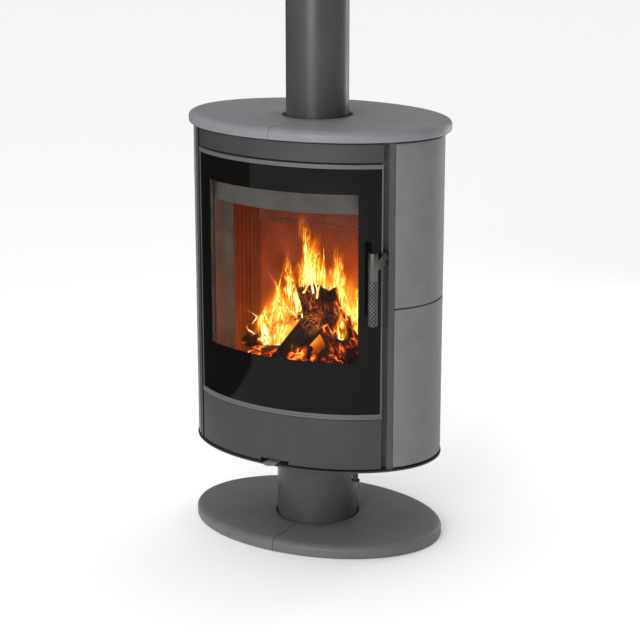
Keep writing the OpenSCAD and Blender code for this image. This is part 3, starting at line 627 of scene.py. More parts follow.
casing = {
    "sheet": 2 * mm,
    "thinSheet": 1.5 * mm,
    "tileDepth": 24 * mm,
    "tileEdge": 2.8 * mm,
    "tileJoint": 0.8 * mm,      # each tile stands back this much from the joint between upper and lower
    "tileGap": 0.4 * mm,        # between a tile's square front end and the profile
    "notchHalf": 38 * mm,       # the opening for the air lever
    "notchHigh": 8 * mm,
    "panelEdge": 0.5 * mm,
    "fold": (0.45, 16 * mm),    # the front panels' returns: degrees and depth
    "foldEdge": 0.2 * mm,
    "profileEdge": 0.6 * mm,
    "plateEdge": 0.8 * mm,
    "thinEdge": 0.3 * mm,
    "channel": 38 * mm,         # depth of the channel beside the door
    "slotCount": 13,            # in each of the back panel's two rows
    "slotHigh": 80 * mm,
    "slotRows": (40 * mm, 127 * mm),    # above the lower edge and below the upper edge
    "slotMargin": 6,            # degrees
    "slotHalf": 0.22,           # share of the pitch
    "knobRing": (6.2 * mm, 3.5 * mm, 13.2 * mm),    # knob's hole, air holes and the radius they lie on
    "spigotHole": 64.5 * mm,
    "pipeRoom": 15 * mm,
}


def makeTile(name, node, side):
    low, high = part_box(node)
    inner = sideReach("front_profile_right")[1] + casing["tileGap"]
    last, depth = rearAngle(high.y, 0), casing["tileDepth"]
    outline = [onOval(0, t) for t in marks((angleAt(inner, 0), last))]
    outline += [onOval(depth, t) for t in reversed(marks((angleAt(inner, depth), last)))]
    upper = "upper" in node
    bottom = low.z + (casing["tileJoint"] if upper else 0)
    top = high.z - (0 if upper else casing["tileJoint"])
    showPiece(platePiece(name, [mirrored(outline, side)], bottom, top), node, casing["tileEdge"])


def makeFrontPanel(name, node, notched):
    low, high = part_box(node)
    t, d, sheet = angleAt(casing["notchHalf"], frontSet), frontSet, casing["sheet"]
    holes = [(-t, t, low.z - 1 * mm, low.z + casing["notchHigh"])] if notched else []
    mesh = curvedWall(name, (d, d + sheet), (-doorEnd, doorEnd), (low.z, high.z), holes)
    showPiece(mesh, node, casing["panelEdge"])
    wide, deep = casing["fold"]
    for side, word in sides:
        ends = sorted((side * doorEnd, side * (doorEnd - wide)))
        fold = curvedWall(f"{name}Return{word}", (d + sheet, d + deep), ends, (low.z, high.z))
        showPiece(fold, node, casing["foldEdge"], extra=True)


def makeProfile(name, node, side):
    low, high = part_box(node)
    edge, outer = sideReach(node)
    sheet = casing["sheet"]
    face = [onOval(frontSet, t) for t in marks((angleAt(edge, frontSet), angleAt(outer, frontSet)), 1.2)]
    first, last = face[0].y, face[-1].y
    outline = face + [(outer, high.y), (outer - sheet, high.y), (outer - sheet, last + sheet * 2),
                      (edge + sheet, first + sheet * 2.2), (edge + sheet, first + casing["channel"]),
                      (edge, first + casing["channel"])]
    showPiece(platePiece(name, [mirrored(outline, side)], low.z, high.z), node, casing["profileEdge"])


def makePlates():
    low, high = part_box("bottom_plate")
    x, y = middleOf("air_valve_knob")
    knobHole, airHole, ring = casing["knobRing"]
    loops = [ovalLoop(-plateLip), roundLoop(casing["spigotHole"]), roundLoop(knobHole, (x, y), 32)]
    loops += [roundLoop(airHole, (x + ring * math.cos(a), y + ring * math.sin(a)), 24)
              for a in [math.radians(60 * k) for k in range(6)]]
    showPiece(platePiece("bottomPlate", loops, low.z, high.z), "bottom_plate", casing["plateEdge"])
    low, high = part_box("top_frame")
    loops = [ovalLoop(halfW - high.x), roundLoop(pipeRadius + casing["pipeRoom"], count=96)]
    showPiece(platePiece("topFrame", loops, low.z, high.z), "top_frame", casing["panelEdge"], slot="body_steel")


def makeBack():
    low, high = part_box("back_panel")
    first, count, half = 180 - angleAt(high.x, frontSet), casing["slotCount"], casing["slotHalf"]
    pitch = (180 - first - casing["slotMargin"]) * 2 / count
    foot, head = casing["slotRows"]
    holes = []
    for k in range(count):
        t = first + casing["slotMargin"] + pitch * (k + 0.5)
        for z in (low.z + foot, high.z - head):
            holes.append((t - pitch * half, t + pitch * half, z, z + casing["slotHigh"]))
    depths = (frontSet, frontSet + casing["thinSheet"])
    mesh = curvedWall("backPanel", depths, (first, 360 - first), (low.z, high.z), holes)
    showPiece(mesh, "back_panel", casing["thinEdge"], segments=2)
    low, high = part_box("rear_profiles")
    for side, word in sides:
        ends = sorted((side * (first + 0.2), side * (first + 2.2)))
        mesh = curvedWall("rearProfile" + word, (frontSet + 1.7 * mm, 32 * mm), ends, (low.z, high.z))
        showPiece(mesh, "rear_profiles", casing["thinEdge"], extra=side < 0, slot="body_steel")


def makeSidePanel(name, node, side):
    low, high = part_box(node)
    inner = sideReach("front_profile_right")[1] + casing["tileGap"]
    depth = halfW - sideReach(node)[1]
    ends = sorted((side * angleAt(inner, depth), side * rearAngle(high.y, depth)))
    mesh = curvedWall(name, (depth, depth + casing["thinSheet"]), ends, (low.z, high.z))
    showPiece(mesh, node)


def makeFrontFrame():
    low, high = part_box("front_frame")
    depth, thick = halfD + low.y, 4 * mm
    lining, arm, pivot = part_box("lining_left"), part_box("handle_arm"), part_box("handle_pivot")
    wide = angleAt(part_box("firebox_shell")[1].x - thick, depth)
    ends, notch = angleAt(high.x, depth), angleAt(casing["notchHalf"], depth)
    middle = (pivot[0].z + pivot[1].z) / 2
    holes = [(-wide, wide, lining[0].z, lining[1].z - 9 * mm),
             (angleAt(arm[0].x - 1.5 * mm, depth), ends + 1, middle - 33 * mm, middle + 13 * mm),
             (-notch, notch, low.z - 1 * mm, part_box("lower_front_panel")[0].z + casing["notchHigh"])]
    mesh = curvedWall("frontFrame", (depth, depth + thick), (-ends, ends), (low.z, high.z), holes)
    showPiece(mesh, "front_frame", casing["panelEdge"])


for side, word in sides:
    for level in ("Lower", "Upper"):
        makeTile(f"tile{level}{word}", f"tile_{level.lower()}_{word.lower()}", side)
    makeProfile("frontProfile" + word, f"front_profile_{word.lower()}", side)
    makeSidePanel("sidePanel" + word, f"side_panel_{word.lower()}", side)
makeFrontPanel("lowerFrontPanel", "lower_front_panel", True)
makeFrontPanel("upperFrontPanel", "upper_front_panel", False)
makePlates()
makeBack()
makeFrontFrame()
print("casing and front frame ready")


# door

door = {
    "glassThick": 4 * mm,
    "printThick": 0.12 * mm,
    "printGap": 0.01 * mm,
    "windowAngle": 38.8,
    "windowLow": 138 * mm,      # above the door's lower edge
    "windowHead": 69 * mm,      # below the door's upper edge
    "railSet": 0.7 * mm,        # rails stand this far in front of the metal face
    "lipSet": 1.7 * mm,
    "topLip": 4.5 * mm,
    "bottomLip": 5.4 * mm,
    "railEdge": 0.45 * mm,
    "trimAngle": 0.7,
    "trimEdge": 0.4 * mm,
    "glassStep": 0.75,          # degrees
}


def makeDoor():
    frameLow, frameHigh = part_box("door_frame")
    low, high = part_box("door_glass")
    face = halfD + low.y
    behind = face + door["glassThick"]
    wide = door["windowAngle"]
    window = (-wide, wide, frameLow.z + door["windowLow"], frameHigh.z - door["windowHead"])
    ends, heights = (-angleAt(high.x, face), angleAt(high.x, face)), (low.z, high.z)
    showPiece(curvedWall("doorGlass", (face, behind), ends, heights, step=door["glassStep"]), "door_glass")
    depths = (face - door["printThick"], face - door["printGap"])
    printed = curvedWall("glassPrint", depths, ends, heights, [window], step=door["glassStep"])
    showPiece(printed, "door_glass", material=printBlack, extra=True)

    back, front, lip = behind + 1.2 * mm, frontSet - door["railSet"], frontSet - door["lipSet"]
    low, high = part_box("door_top_rail")
    z0, z1, step = low.z, high.z, high.z - door["topLip"]
    topSection = [(front, z0), (front, step), (lip, step), (lip, z1), (back, z1), (back, z0)]
    low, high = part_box("door_bottom_rail")
    z0, z1, step = low.z, high.z, low.z + door["bottomLip"]
    bottomSection = [(lip, z0), (lip, step), (front, step), (front, z1), (back, z1), (back, z0)]
    for name, node, section in (("doorTopRail", "door_top_rail", topSection),
                                ("doorBottomRail", "door_bottom_rail", bottomSection)):
        showPiece(sweptBar(name, section, (-doorEnd, doorEnd)), node, door["railEdge"])
    for side, word in sides:
        ends = sorted((side * doorEnd, side * (doorEnd - door["trimAngle"])))
        trim = curvedWall("doorTrim" + word, (frontSet, back), ends, heights)
        showPiece(trim, "door_trims", door["trimEdge"], extra=side < 0)


makeDoor()
print("door ready")


# geometry nodes

def growTree(name, inputs, rows):
    # a tree with named inputs, whose last row makes its geometry
    tree = bpy.data.node_groups.new(name, "GeometryNodeTree")
    for label, kind in {"Geometry": "Geometry", **inputs, "Material": "Material"}.items():
        tree.interface.new_socket(label, in_out="INPUT", socket_type="NodeSocket" + kind)
    tree.interface.new_socket("Geometry", in_out="OUTPUT", socket_type="NodeSocketGeometry")
    given = {socket.name: socket for socket in addNode(tree, "GroupInput", {}, []).outputs if socket.name}
    addRows(tree, given, {
        **rows,
        "solid": ("RealizeInstances", {}, {"Geometry": list(rows)[-1]}),
        "painted": ("SetMaterial", {}, {"Geometry": "solid", "Material": "Material"}),
        "result": ("GroupOutput", {}, {"Geometry": "painted"}),
    })
    return tree


def growMesh(name, tree, values, source=None):
    # runs a tree on a maker object and keeps only the plain mesh
    maker = addObject(name + "Maker", source or bpy.data.meshes.new(name + "Seed"))
    modifier = maker.modifiers.new("grow", "NODES")
    modifier.node_group = tree
    for item in tree.interface.items_tree:
        if item.in_out == "INPUT" and item.name in values:
            modifier[item.identifier] = values[item.name]
    depsgraph = bpy.context.evaluated_depsgraph_get()
    mesh = bpy.data.meshes.new_from_object(maker.evaluated_get(depsgraph), depsgraph=depsgraph)
    mesh.name = name
    bpy.data.objects.remove(maker)
    return mesh


# linings

lining = {
    "ribShare": 0.66,           # share of the pitch that a rib fills
    "ribDeep": 6 * mm,
    "ribRoot": 3 * mm,          # how far a rib stands into its board
    "ribShort": 1 * mm,
    "ribRound": 1.4 * mm,
    "ribCount": 7,
    "boardEdge": 1.5 * mm,
}


def makeLinings():
    # upright ribs in a row along Y, each a rounded bar
    tree = growTree("liningRibs", {"Count": "Int", "Pitch": "Float", "Width": "Float", "Deep": "Float",
                                   "Round": "Float", "Tall": "Float"}, {
        "profile": ("CurvePrimitiveQuadrilateral", {}, {"Width": "Deep", "Height": "Width"}),
        "rounded": ("FilletCurve", {"mode": "POLY", "Count": 4}, {"Curve": "profile", "Radius": "Round"}),
        "top": ("CombineXYZ", {}, {"Z": "Tall"}),
        "line": ("CurvePrimitiveLine", {}, {"End": "top"}),
        "rib": ("CurveToMesh", {"Fill Caps": True}, {"Curve": "line", "Profile Curve": "rounded"}),
        "step": ("CombineXYZ", {}, {"Y": "Pitch"}),
        "row": ("MeshLine", {"mode": "OFFSET"}, {"Count": "Count", "Offset": "step"}),
        "ribs": ("InstanceOnPoints", {}, {"Points": "row", "Instance": "rib"}),
    })
    for side, word in sides:
        node = f"lining_{word.lower()}"
        low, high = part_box(node)
        face, outer = sideReach(node)
        pitch, deep = (high.y - low.y) / lining["ribCount"], lining["ribDeep"] + lining["ribRoot"]
        xa, xb = side * (face + lining["ribDeep"]), side * outer
        board = [(xa, low.y), (xb, low.y), (xb, high.y), (xa, high.y)]
        mesh = platePiece("lining" + word, [board], low.z, high.z)
        # the board between the ribs takes the painted-shade copy of the chamotte
        showPiece(mesh, node, lining["boardEdge"], shadedBoard)
        short = lining["ribShort"]
        ribs = growMesh("liningRibs" + word, tree, {
            "Count": lining["ribCount"], "Pitch": pitch, "Width": pitch * lining["ribShare"], "Deep": deep,
            "Round": lining["ribRound"], "Tall": high.z - low.z - short, "Material": ribbedBoard})
        place = (side * (face + deep / 2), low.y + pitch / 2, low.z + short / 2)
        ribs.transform(Matrix.Translation(place))
        showPiece(ribs, node, material=ribbedBoard, extra=True)
    for side, word in sides:
        node = f"lining_back_{word.lower()}"
        low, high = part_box(node)
        board = [(low.x, low.y), (high.x, low.y), (high.x, high.y), (low.x, high.y)]
        showPiece(platePiece("liningBack" + word, [board], low.z, high.z), node, lining["boardEdge"])


makeLinings()
print("linings ready")


# handle

handle = {
    "strands": 7,
    "lead": 68 * mm,            # height that a strand climbs in one turn
    "wire": 1.05 * mm,
    "chamfer": 2.4 * mm,
    "ringSides": 12,
}


def makeLattice():
    # two sets of strands wound against each other round a bar
    rows = {
        "points": ("Points", {}, {"Count": "Strands"}),
        "index": ("InputIndex", {}, {}),
        "share": ("Math", {"operation": "DIVIDE"}, ("index", "Strands")),
        "angle": ("Math", {"operation": "MULTIPLY", 1: 2 * math.pi}, "share"),
        "turn": ("CombineXYZ", {}, {"Z": "angle"}),
        "wire": ("CurvePrimitiveCircle", {"Resolution": 8}, {"Radius": "Wire"}),
    }
    for way, reverse in (("left", False), ("right", True)):
        rows |= {
            way + "Spiral": ("CurveSpiral", {"Resolution": 40, "Reverse": reverse},
                             {"Rotations": "Turns", "Start Radius": "Radius", "End Radius": "Radius",
                              "Height": "Tall"}),
            way + "Strand": ("CurveToMesh", {"Fill Caps": True},
                             {"Curve": way + "Spiral", "Profile Curve": "wire"}),
            way: ("InstanceOnPoints", {},
                  {"Points": "points", "Instance": way + "Strand", "Rotation": "turn"}),
        }
    rows["both"] = ("JoinGeometry", {}, "left + right")
    return growTree("gripLattice", {"Strands": "Int", "Turns": "Float", "Radius": "Float", "Tall": "Float",
                                    "Wire": "Float"}, rows)


def makeHandle():
    barLow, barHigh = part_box("handle_bar")
    gripLow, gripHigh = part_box("handle_grip")
    centre, wire, c = middleOf("handle_bar"), handle["wire"], handle["chamfer"]
    r = (barHigh.x - barLow.x) / 2
    core, top, foot = r - wire * 1.3, barHigh.z, barLow.z
    neck = gripHigh.z - 0.2 * mm
    section = [(0.0, foot), (core - 1 * mm, foot), (core, foot + 1 * mm), (core, neck), (0.0, neck)]
    # the core under the lattice wears the painted-shade black
    showPiece(turnedShape("handleCore", section, centre, 48), "handle_bar", material=gripCoreShade, extra=True)
    section = [(0.0, neck), (core, neck), (r - 0.4 * mm, gripHigh.z), (r, gripHigh.z + 0.6 * mm),
               (r, top - c), (r - 0.15 * c, top - 0.6 * c), (r - 0.9 * c, top - 0.1 * c), (r - 1.2 * c, top),
               (0.0, top)]
    showPiece(turnedShape("handleBar", section, centre, 64), "handle_bar")
    tall = gripHigh.z - gripLow.z - 2 * wire
    lattice = growMesh("handleGrip", makeLattice(), {
        "Strands": handle["strands"], "Turns": tall / handle["lead"], "Radius": core + wire * 0.45,
        "Tall": tall, "Wire": wire, "Material": ridgeSteel})
    lattice.transform(Matrix.Translation((*centre, gripLow.z + wire)))
    showPiece(lattice, "handle_grip", material=ridgeSteel)
    turns = [2 * math.pi * k / handle["ringSides"] for k in range(handle["ringSides"])]
    for name, height in (("gripFootRing", gripLow.z + wire), ("gripHeadRing", gripHigh.z - wire)):
        ring = [(core - 0.3 * mm + wire * 1.45 * math.cos(a), height + wire * math.sin(a)) for a in turns]
        showPiece(turnedShape(name, ring, centre, 48), "handle_grip", extra=True)


makeHandle()
print("handle ready")


# door seal

rope = {
    "lead": 22 * mm,            # one full turn of the three strands
    "strand": 2.6 * mm,
    "offset": 1.05,             # strand centres from the middle, in strand radii
    "corner": 9 * mm,
    "margin": 6 * mm,
    "step": 2.5 * mm,
}


def makeRope():
    # three strands twisted round a closed path
    rows = {
        "path": ("MeshToCurve", {}, {"Mesh": "Geometry"}),
        "even": ("ResampleCurve", {"mode": "LENGTH", "Length": rope["step"]}, {"Curve": "path"}),
        "normal": ("InputNormal", {}, {}),
        "tangent": ("InputTangent", {}, {}),
        "across": ("VectorMath", {"operation": "CROSS_PRODUCT"}, ("tangent", "normal")),
        "walked": ("SplineParameter", {}, {}),
        "share": ("Math", {"operation": "DIVIDE"}, ("walked.Length", "Lead")),
        "circle": ("CurvePrimitiveCircle", {"Resolution": 8}, {"Radius": "Strand"}),
    }
    for k in range(3):
        rows |= {
            f"phase{k}": ("Math", {"operation": "MULTIPLY_ADD", 1: 2 * math.pi, 2: 2 * math.pi * k / 3},
                          "share"),
            f"cos{k}": ("Math", {"operation": "COSINE"}, {0: f"phase{k}"}),
            f"sin{k}": ("Math", {"operation": "SINE"}, {0: f"phase{k}"}),
            f"first{k}": ("VectorMath", {"operation": "SCALE"}, {0: "normal", "Scale": f"cos{k}"}),
            f"second{k}": ("VectorMath", {"operation": "SCALE"}, {0: "across", "Scale": f"sin{k}"}),
            f"summed{k}": ("VectorMath", {"operation": "ADD"}, {0: f"first{k}", 1: f"second{k}"}),
            f"offset{k}": ("VectorMath", {"operation": "SCALE"}, {0: f"summed{k}", "Scale": "Offset"}),
            f"shifted{k}": ("SetPosition", {}, {"Geometry": "even", "Offset": f"offset{k}"}),
            f"strand{k}": ("CurveToMesh", {}, {"Curve": f"shifted{k}", "Profile Curve": "circle"}),
        }
    rows["all"] = ("JoinGeometry", {}, "strand0 + strand1 + strand2")
    return growTree("sealRope", {"Lead": "Float", "Strand": "Float", "Offset": "Float"}, rows)


def makeSeal():
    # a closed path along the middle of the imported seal, with rounded corners
    low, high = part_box("door_seal")
    depths = sorted(halfD * (1 - math.hypot(v.co.x / halfW, v.co.y / halfD))
                    for v in frame["nodes"]["door_seal"].data.vertices)
    depth, turn = (depths[0] + depths[-1]) / 2, rope["corner"]
    end = angleAt(high.x, depth) - 1.2
    z0, z1 = low.z + rope["margin"], high.z - rope["margin"]
    turnT = turn / (math.radians(1) * halfW * 0.75)     # the corner's size in degrees
    bends = []
    for t, z, start in ((end, z0, -90), (end, z1, 0), (-end, z1, 90), (-end, z0, 180)):
        for a in [math.radians(start + 15 * k) for k in range(7)]:
            bends.append((t - math.copysign(turnT, t) + turnT * math.cos(a),
                          z + (turn if z == z0 else -turn) + turn * math.sin(a)))
    full = []
    for (ta, za), (tb, zb) in zip(bends, bends[1:] + bends[:1]):
        count = max(1, round(abs(tb - ta) / 1.5))
        full += [(ta + (tb - ta) * k / count, za + (zb - za) * k / count) for k in range(count)]
    verts = [(*onOval(depth, t), z) for t, z in full]
    path = bpy.data.meshes.new("doorSealPath")
    path.from_pydata(verts, [(k, (k + 1) % len(verts)) for k in range(len(verts))], [])
    total = sum((Vector(a) - Vector(b)).length for a, b in zip(verts, verts[1:] + verts[:1]))
    mesh = growMesh("doorSeal", makeRope(), {
        "Lead": total / round(total / rope["lead"]), "Strand": rope["strand"],
        "Offset": rope["strand"] * rope["offset"], "Material": finishes["seal_rope"]}, path)
    showPiece(mesh, "door_seal")


makeSeal()
print("seal ready")


# fire

fire = {
    "seed": 7,
    "mound": (-0.165, 0.168, -0.172, 0.012),     # where the ember bed lies: x, x, y, y
    "bedHigh": 34 * mm,
    "bedGrid": (60, 34),
    # x, y, reach in x and y, height
    "heaps": [(0.115, -0.085, 0.06, 0.06, 62 * mm), (-0.09, -0.07, 0.07, 0.06, 18 * mm)],
    "ripple": 7 * mm,
    "coalSize": 15 * mm,
    "coalCount": 1500.0,                         # per square metre
    "logs": [   # start, end, radius, opening angle, roll, seed, glow
        ("logTop", (0.088, -0.142, 0.577), (-0.018, -0.005, 0.633), 0.056, 105, 80, 1, 1.0),
        ("logRight", (0.052, -0.078, 0.612), (0.150, -0.085, 0.446), 0.046, 150, 20, 2, 2.4),
        ("logLeft", (-0.163, -0.052, 0.462), (0.020, -0.078, 0.556), 0.040, 120, 100, 3, 2.2),
        ("logFront", (-0.118, -0.112, 0.452), (0.045, -0.142, 0.482), 0.034, 140, 70, 4, 3.2),
        ("logProp", (-0.030, -0.150, 0.440), (0.062, -0.108, 0.568), 0.040, 100, 160, 5, 0.25),
        ("logBack", (-0.130, -0.015, 0.455), (0.130, -0.030, 0.495), 0.040, 160, 10, 6, 2.0),
    ],
    "halos": [
        ((0.030, -0.030, 0.500), (0.000, -0.030, 0.800), 0.085, 0.012, 0.9),
        ((-0.060, -0.055, 0.455), (-0.075, -0.055, 0.690), 0.075, 0.010, 2.2),
        ((0.105, -0.035, 0.480), (0.110, -0.035, 0.740), 0.075, 0.010, 3.7),
        ((0.000, -0.095, 0.450), (-0.010, -0.090, 0.640), 0.110, 0.008, 5.1),
    ],
    "tongues": [   # base, tip, half width, sway, phase
        ((0.012, -0.062, 0.590), (0.010, -0.060, 0.760), 0.040, 0.012, 3.3),
        ((-0.060, -0.060, 0.500), (-0.092, -0.062, 0.665), 0.030, 0.010, 5.6),
        ((-0.092, -0.095, 0.462), (-0.080, -0.092, 0.600), 0.034, 0.010, 1.4),
        ((0.118, -0.070, 0.520), (0.104, -0.070, 0.690), 0.036, 0.012, 0.3),
        ((0.030, -0.050, 0.560), (-0.004, -0.052, 0.822), 0.050, 0.010, 0.4),
        ((0.005, -0.035, 0.540), (0.018, -0.040, 0.770), 0.056, 0.012, 2.1),
        ((-0.020, -0.060, 0.500), (-0.045, -0.055, 0.725), 0.040, 0.010, 1.0),
        ((-0.078, -0.072, 0.470), (-0.070, -0.070, 0.640), 0.034, 0.008, 3.0),
        ((-0.110, -0.080, 0.468), (-0.118, -0.080, 0.560), 0.026, 0.006, 0.2),
        ((0.082, -0.040, 0.560), (0.092, -0.045, 0.730), 0.044, 0.010, 1.7),
        ((0.060, -0.020, 0.520), (0.052, -0.020, 0.745), 0.060, 0.010, 4.1),
        ((0.142, -0.060, 0.470), (0.150, -0.062, 0.700), 0.034, 0.009, 2.6),
        ((-0.050, -0.110, 0.465), (-0.035, -0.105, 0.585), 0.040, 0.008, 5.0),
        ((0.115, -0.100, 0.500), (0.125, -0.098, 0.600), 0.022, 0.006, 0.9),
    ],
    "spread": 1.2,                               # widens every tongue
    "filaments": 22,
    "lamps": [("fireGlow", 7.5, (0.03, -0.06, 0.60), "#ff7a22"),
              ("emberGlow", 2.2, (-0.02, -0.13, 0.50), "#ff6a18")],
    "lampRadius": 0.05,
}
grainMap = ("UVMap", {"uv_map": "grain"}, {})


def charredWood(name, ember):
    # split beech burnt to charcoal: black blocks near 10 by 24 mm, ash-grey faces, glowing cracks
    return surface(name, {"Roughness": 0.85, "IOR": 1.4}, {
        "grain": grainMap,
        "place": ("Mapping", {"Scale": (95, 42, 1)}, "grain"),
        "bend": ("TexNoise", {"Scale": 2.0, "Detail": 3}, "place"),
        "warped": ("Mix", {"data_type": "VECTOR", "Factor": 0.12}, {4: "place", 5: "bend.Color"}),
        "blocks": ("TexVoronoi", {"feature": "DISTANCE_TO_EDGE", "Scale": 1.0}, "warped"),
        "heat": ("TexNoise", lumps(48, 3), "object"),
        "fibres": ("Mapping", {"Scale": (520, 22, 1)}, "grain"),
        "threads": ("TexNoise", {"Scale": 1.0, "Detail": 4}, "fibres"),
        "Base Color": ("ValToRGB", [(0.3, "#0d0908"), (0.55, "#241611"), (0.75, "#32201a")],
                       "threads"),
        "cracks": ("MapRange", span(0.0, 0.16, 1.0, 0.0), "blocks"),
        "hot": ("MapRange", span(0.42, 0.62), "heat"),
        "threadHot": ("MapRange", span(0.45, 0.7), "threads"),
        "lines": ("Math", {"operation": "MAXIMUM"}, ("cracks", "threadHot")),
        "glow": ("Math", times, ("lines", "hot")),
        "Emission Color": ("ValToRGB", [(0.0, "#1a0200"), (0.35, "#b52a04"), (0.7, "#ff7a18"),
                                                  (1.0, "#ffc860")], "glow"),
        "Emission Strength": ("Math", {**times, 1: ember}, "glow"),
        "Normal": ("Bump", {"Strength": 0.9, "Distance": 2 * mm, "invert": True}, {"Height": "cracks"}),
    })


def glowingCoal(name):
    # lumps of charcoal under a skin of ash, orange where air reaches them
    return surface(name, {"Roughness": 0.9, "IOR": 1.4}, {
        "lumps": ("TexNoise", lumps(16, 4, 0.6), "object"),
        "zones": ("TexNoise", lumps(55), "object"),
        "Base Color": ("ValToRGB", [(0.35, "#120c0a"), (0.6, "#2c201c"), (0.78, "#6d625c")],
                       "lumps"),
        "near": ("MapRange", span(0.40, 0.62), "zones"),
        "vein": ("MapRange", span(0.36, 0.56, 1.0, 0.0), "lumps"),
        "heat": ("Math", times, ("near", "vein")),
        "Emission Color": ("ValToRGB", [(0.0, "#200300"), (0.3, "#a02004"), (0.65, "#ff5c10"),
                                                  (1.0, "#ffb040")], "heat"),
        "Emission Strength": ("Math", {**times, 1: 2.2}, "heat"),
        "Normal": ("Bump", {"Strength": 0.6, "Distance": 1.5 * mm}, {"Height": "lumps"}),
    })


def burningGas(name, strength, core):
    # the light of burning wood gas: white-yellow in the core, orange to red and fading at its edges
    return surface(name, {"Base Color": "#000000", "Roughness": 1.0, "Specular IOR Level": 0.0}, {
        "grain": grainMap,
        "parts": ("SeparateXYZ", {}, "grain"),
        "tall": ("Mapping", {"Scale": (1, 1, 0.36)}, "object"),
        "swirl": ("TexNoise", lumps(26, 3, 0.5, 0.7), "tall"),
        "taller": ("Mapping", {"Scale": (1.4, 1.4, 0.16)}, "object"),
        "fine": ("TexNoise", lumps(9, 2, 0.45, 1.6), "taller"),
        "shift": ("MapRange", span(0.3, 0.7, -0.42, 0.42), "swirl"),
        "moved": ("Math", {"operation": "ADD"}, ("parts.X", "shift")),
        "side": ("Math", absolute, "moved"),
        "body": ("MapRange", {**span(0.95, core), **smooth}, "side"),
        "rise": ("MapRange", {**span(1.0, 0.55), **smooth}, "parts.Y"),
        "foot": ("MapRange", span(0.0, 0.12), "parts.Y"),
        "wisps": ("MapRange", span(0.36, 0.6, 0.25), "fine"),
        "outline": ("Math", times, ("body", "rise")),
        "shape": ("Math", times, ("outline", "foot")),
        "dense": ("Math", times, ("shape", "wisps")),
        "cooling": ("MapRange", span(0.0, 1.0, 1.0, 0.55), "parts.Y"),
        "heat": ("Math", times, ("dense", "cooling")),
        "Emission Color": ("ValToRGB", [(0.0, "#dc4203"), (0.18, "#f4800f"), (0.38, "#ffb52c"),
                                                  (0.62, "#ffe072"), (1.0, "#fff8d2")], "heat"),
        "Emission Strength": ("MapRange", span(0.0, 1.0, strength * 0.35, strength), "heat"),
        "Alpha": ("Math", {"operation": "POWER", 1: 0.8}, "dense"),
    })


def glowingHaze(name, strength, veil):
    # hot gas round the flames: a soft orange veil without edges
    smoother = {"interpolation_type": "SMOOTHERSTEP"}
    return surface(name, {"Base Color": "#000000", "Roughness": 1.0, "Specular IOR Level": 0.0,
                          "Emission Strength": strength}, {
        "grain": grainMap,
        "parts": ("SeparateXYZ", {}, "grain"),
        "side": ("Math", absolute, "parts.X"),
        "body": ("MapRange", {**span(1.0, 0.0), **smoother}, "side"),
        "rise": ("MapRange", {**span(1.0, 0.2), **smoother}, "parts.Y"),
        "foot": ("MapRange", {**span(0.0, 0.3), **smooth}, "parts.Y"),
        "tall": ("Mapping", {"Scale": (1, 1, 0.5)}, "object"),
        "drift": ("TexNoise", lumps(40), "tall"),
        "thin": ("MapRange", span(0.3, 0.7, 0.5), "drift"),
        "outline": ("Math", times, ("body", "rise")),
        "shape": ("Math", times, ("outline", "foot")),
        "dense": ("Math", times, ("shape", "thin")),
        "Emission Color": ("ValToRGB", [(0.0, "#cc4404"), (0.4, "#ee7c14"), (1.0, "#ffc850")],
                           "dense"),
        "Alpha": ("Math", {**times, 1: veil}, "dense"),
    })


def splitLog(name, start, end, radius, opening, roll, seed, material):
    # a split log: bark on the round side, two cleft faces meeting at the heart
    start, end, heart = Vector(start), Vector(end), Vector((0, 0))
    axis = (end - start).normalized()
    side = axis.cross(Vector((0, 0, 1))).normalized()
    up = side.cross(axis)
    arc, rings, long = 18, 34, (end - start).length
    angles = [math.radians(-opening / 2 + opening * k / arc) for k in range(arc + 1)]
    bark = [Vector((radius * math.cos(a), radius * math.sin(a))) for a in angles]
    section = bark + [bark[-1].lerp(heart, k / 7) for k in range(1, 7)] + [heart]
    section += [heart.lerp(bark[0], k / 7) for k in range(1, 7)]
    middle = sum(section, Vector((0, 0))) / len(section)
    turn = Matrix.Rotation(math.radians(roll), 2)
    section = [turn @ (p - middle) for p in section]
    size = len(section)
    ends = {-2: 0.0, -1: 0.82, 0: 0.95, rings: 0.95, rings + 1: 0.82, rings + 2: 0.0}   # the sawn ends
    verts, uvs = [], []
    for i in range(-2, rings + 3):
        share, inset = min(max(i / rings, 0), 1), ends.get(i, 1.0)
        centre, walked = start.lerp(end, share), 0.0
        for k, p in enumerate(section):
            wave = noise.noise(Vector((p.x * 30, p.y * 30, share * long * 9 + seed * 7)))
            fibre = noise.noise(Vector((k * 0.9 + seed, share * 3, seed)))
            grow = inset * (1 + 0.13 * wave + 0.07 * fibre)
            spot = centre + side * (p.x * grow) + up * (p.y * grow)
            if inset < 1:
                spot += axis * (0.004 * noise.noise(Vector((p.x * 60, p.y * 60, seed + i))))
            verts.append(spot)
            uvs.append((walked, share * long + seed * 0.37 + (0 if inset == 1 else (1 - inset) * radius)))
            walked += (section[(k + 1) % size] - p).length
    work = bmesh.new()
    made = [work.verts.new(v) for v in verts]
    layer = work.loops.layers.uv.new("grain")
    for ring in bridge(rings + 5, size)[:-2]:
        for loop, v in zip(work.faces.new([made[v] for v in ring]).loops, ring):
            loop[layer].uv = uvs[v]
    bmesh.ops.remove_doubles(work, verts=work.verts, dist=1e-5)
    showPiece(finishMesh(work, name), "hearth_bricks", material=material, extra=True)


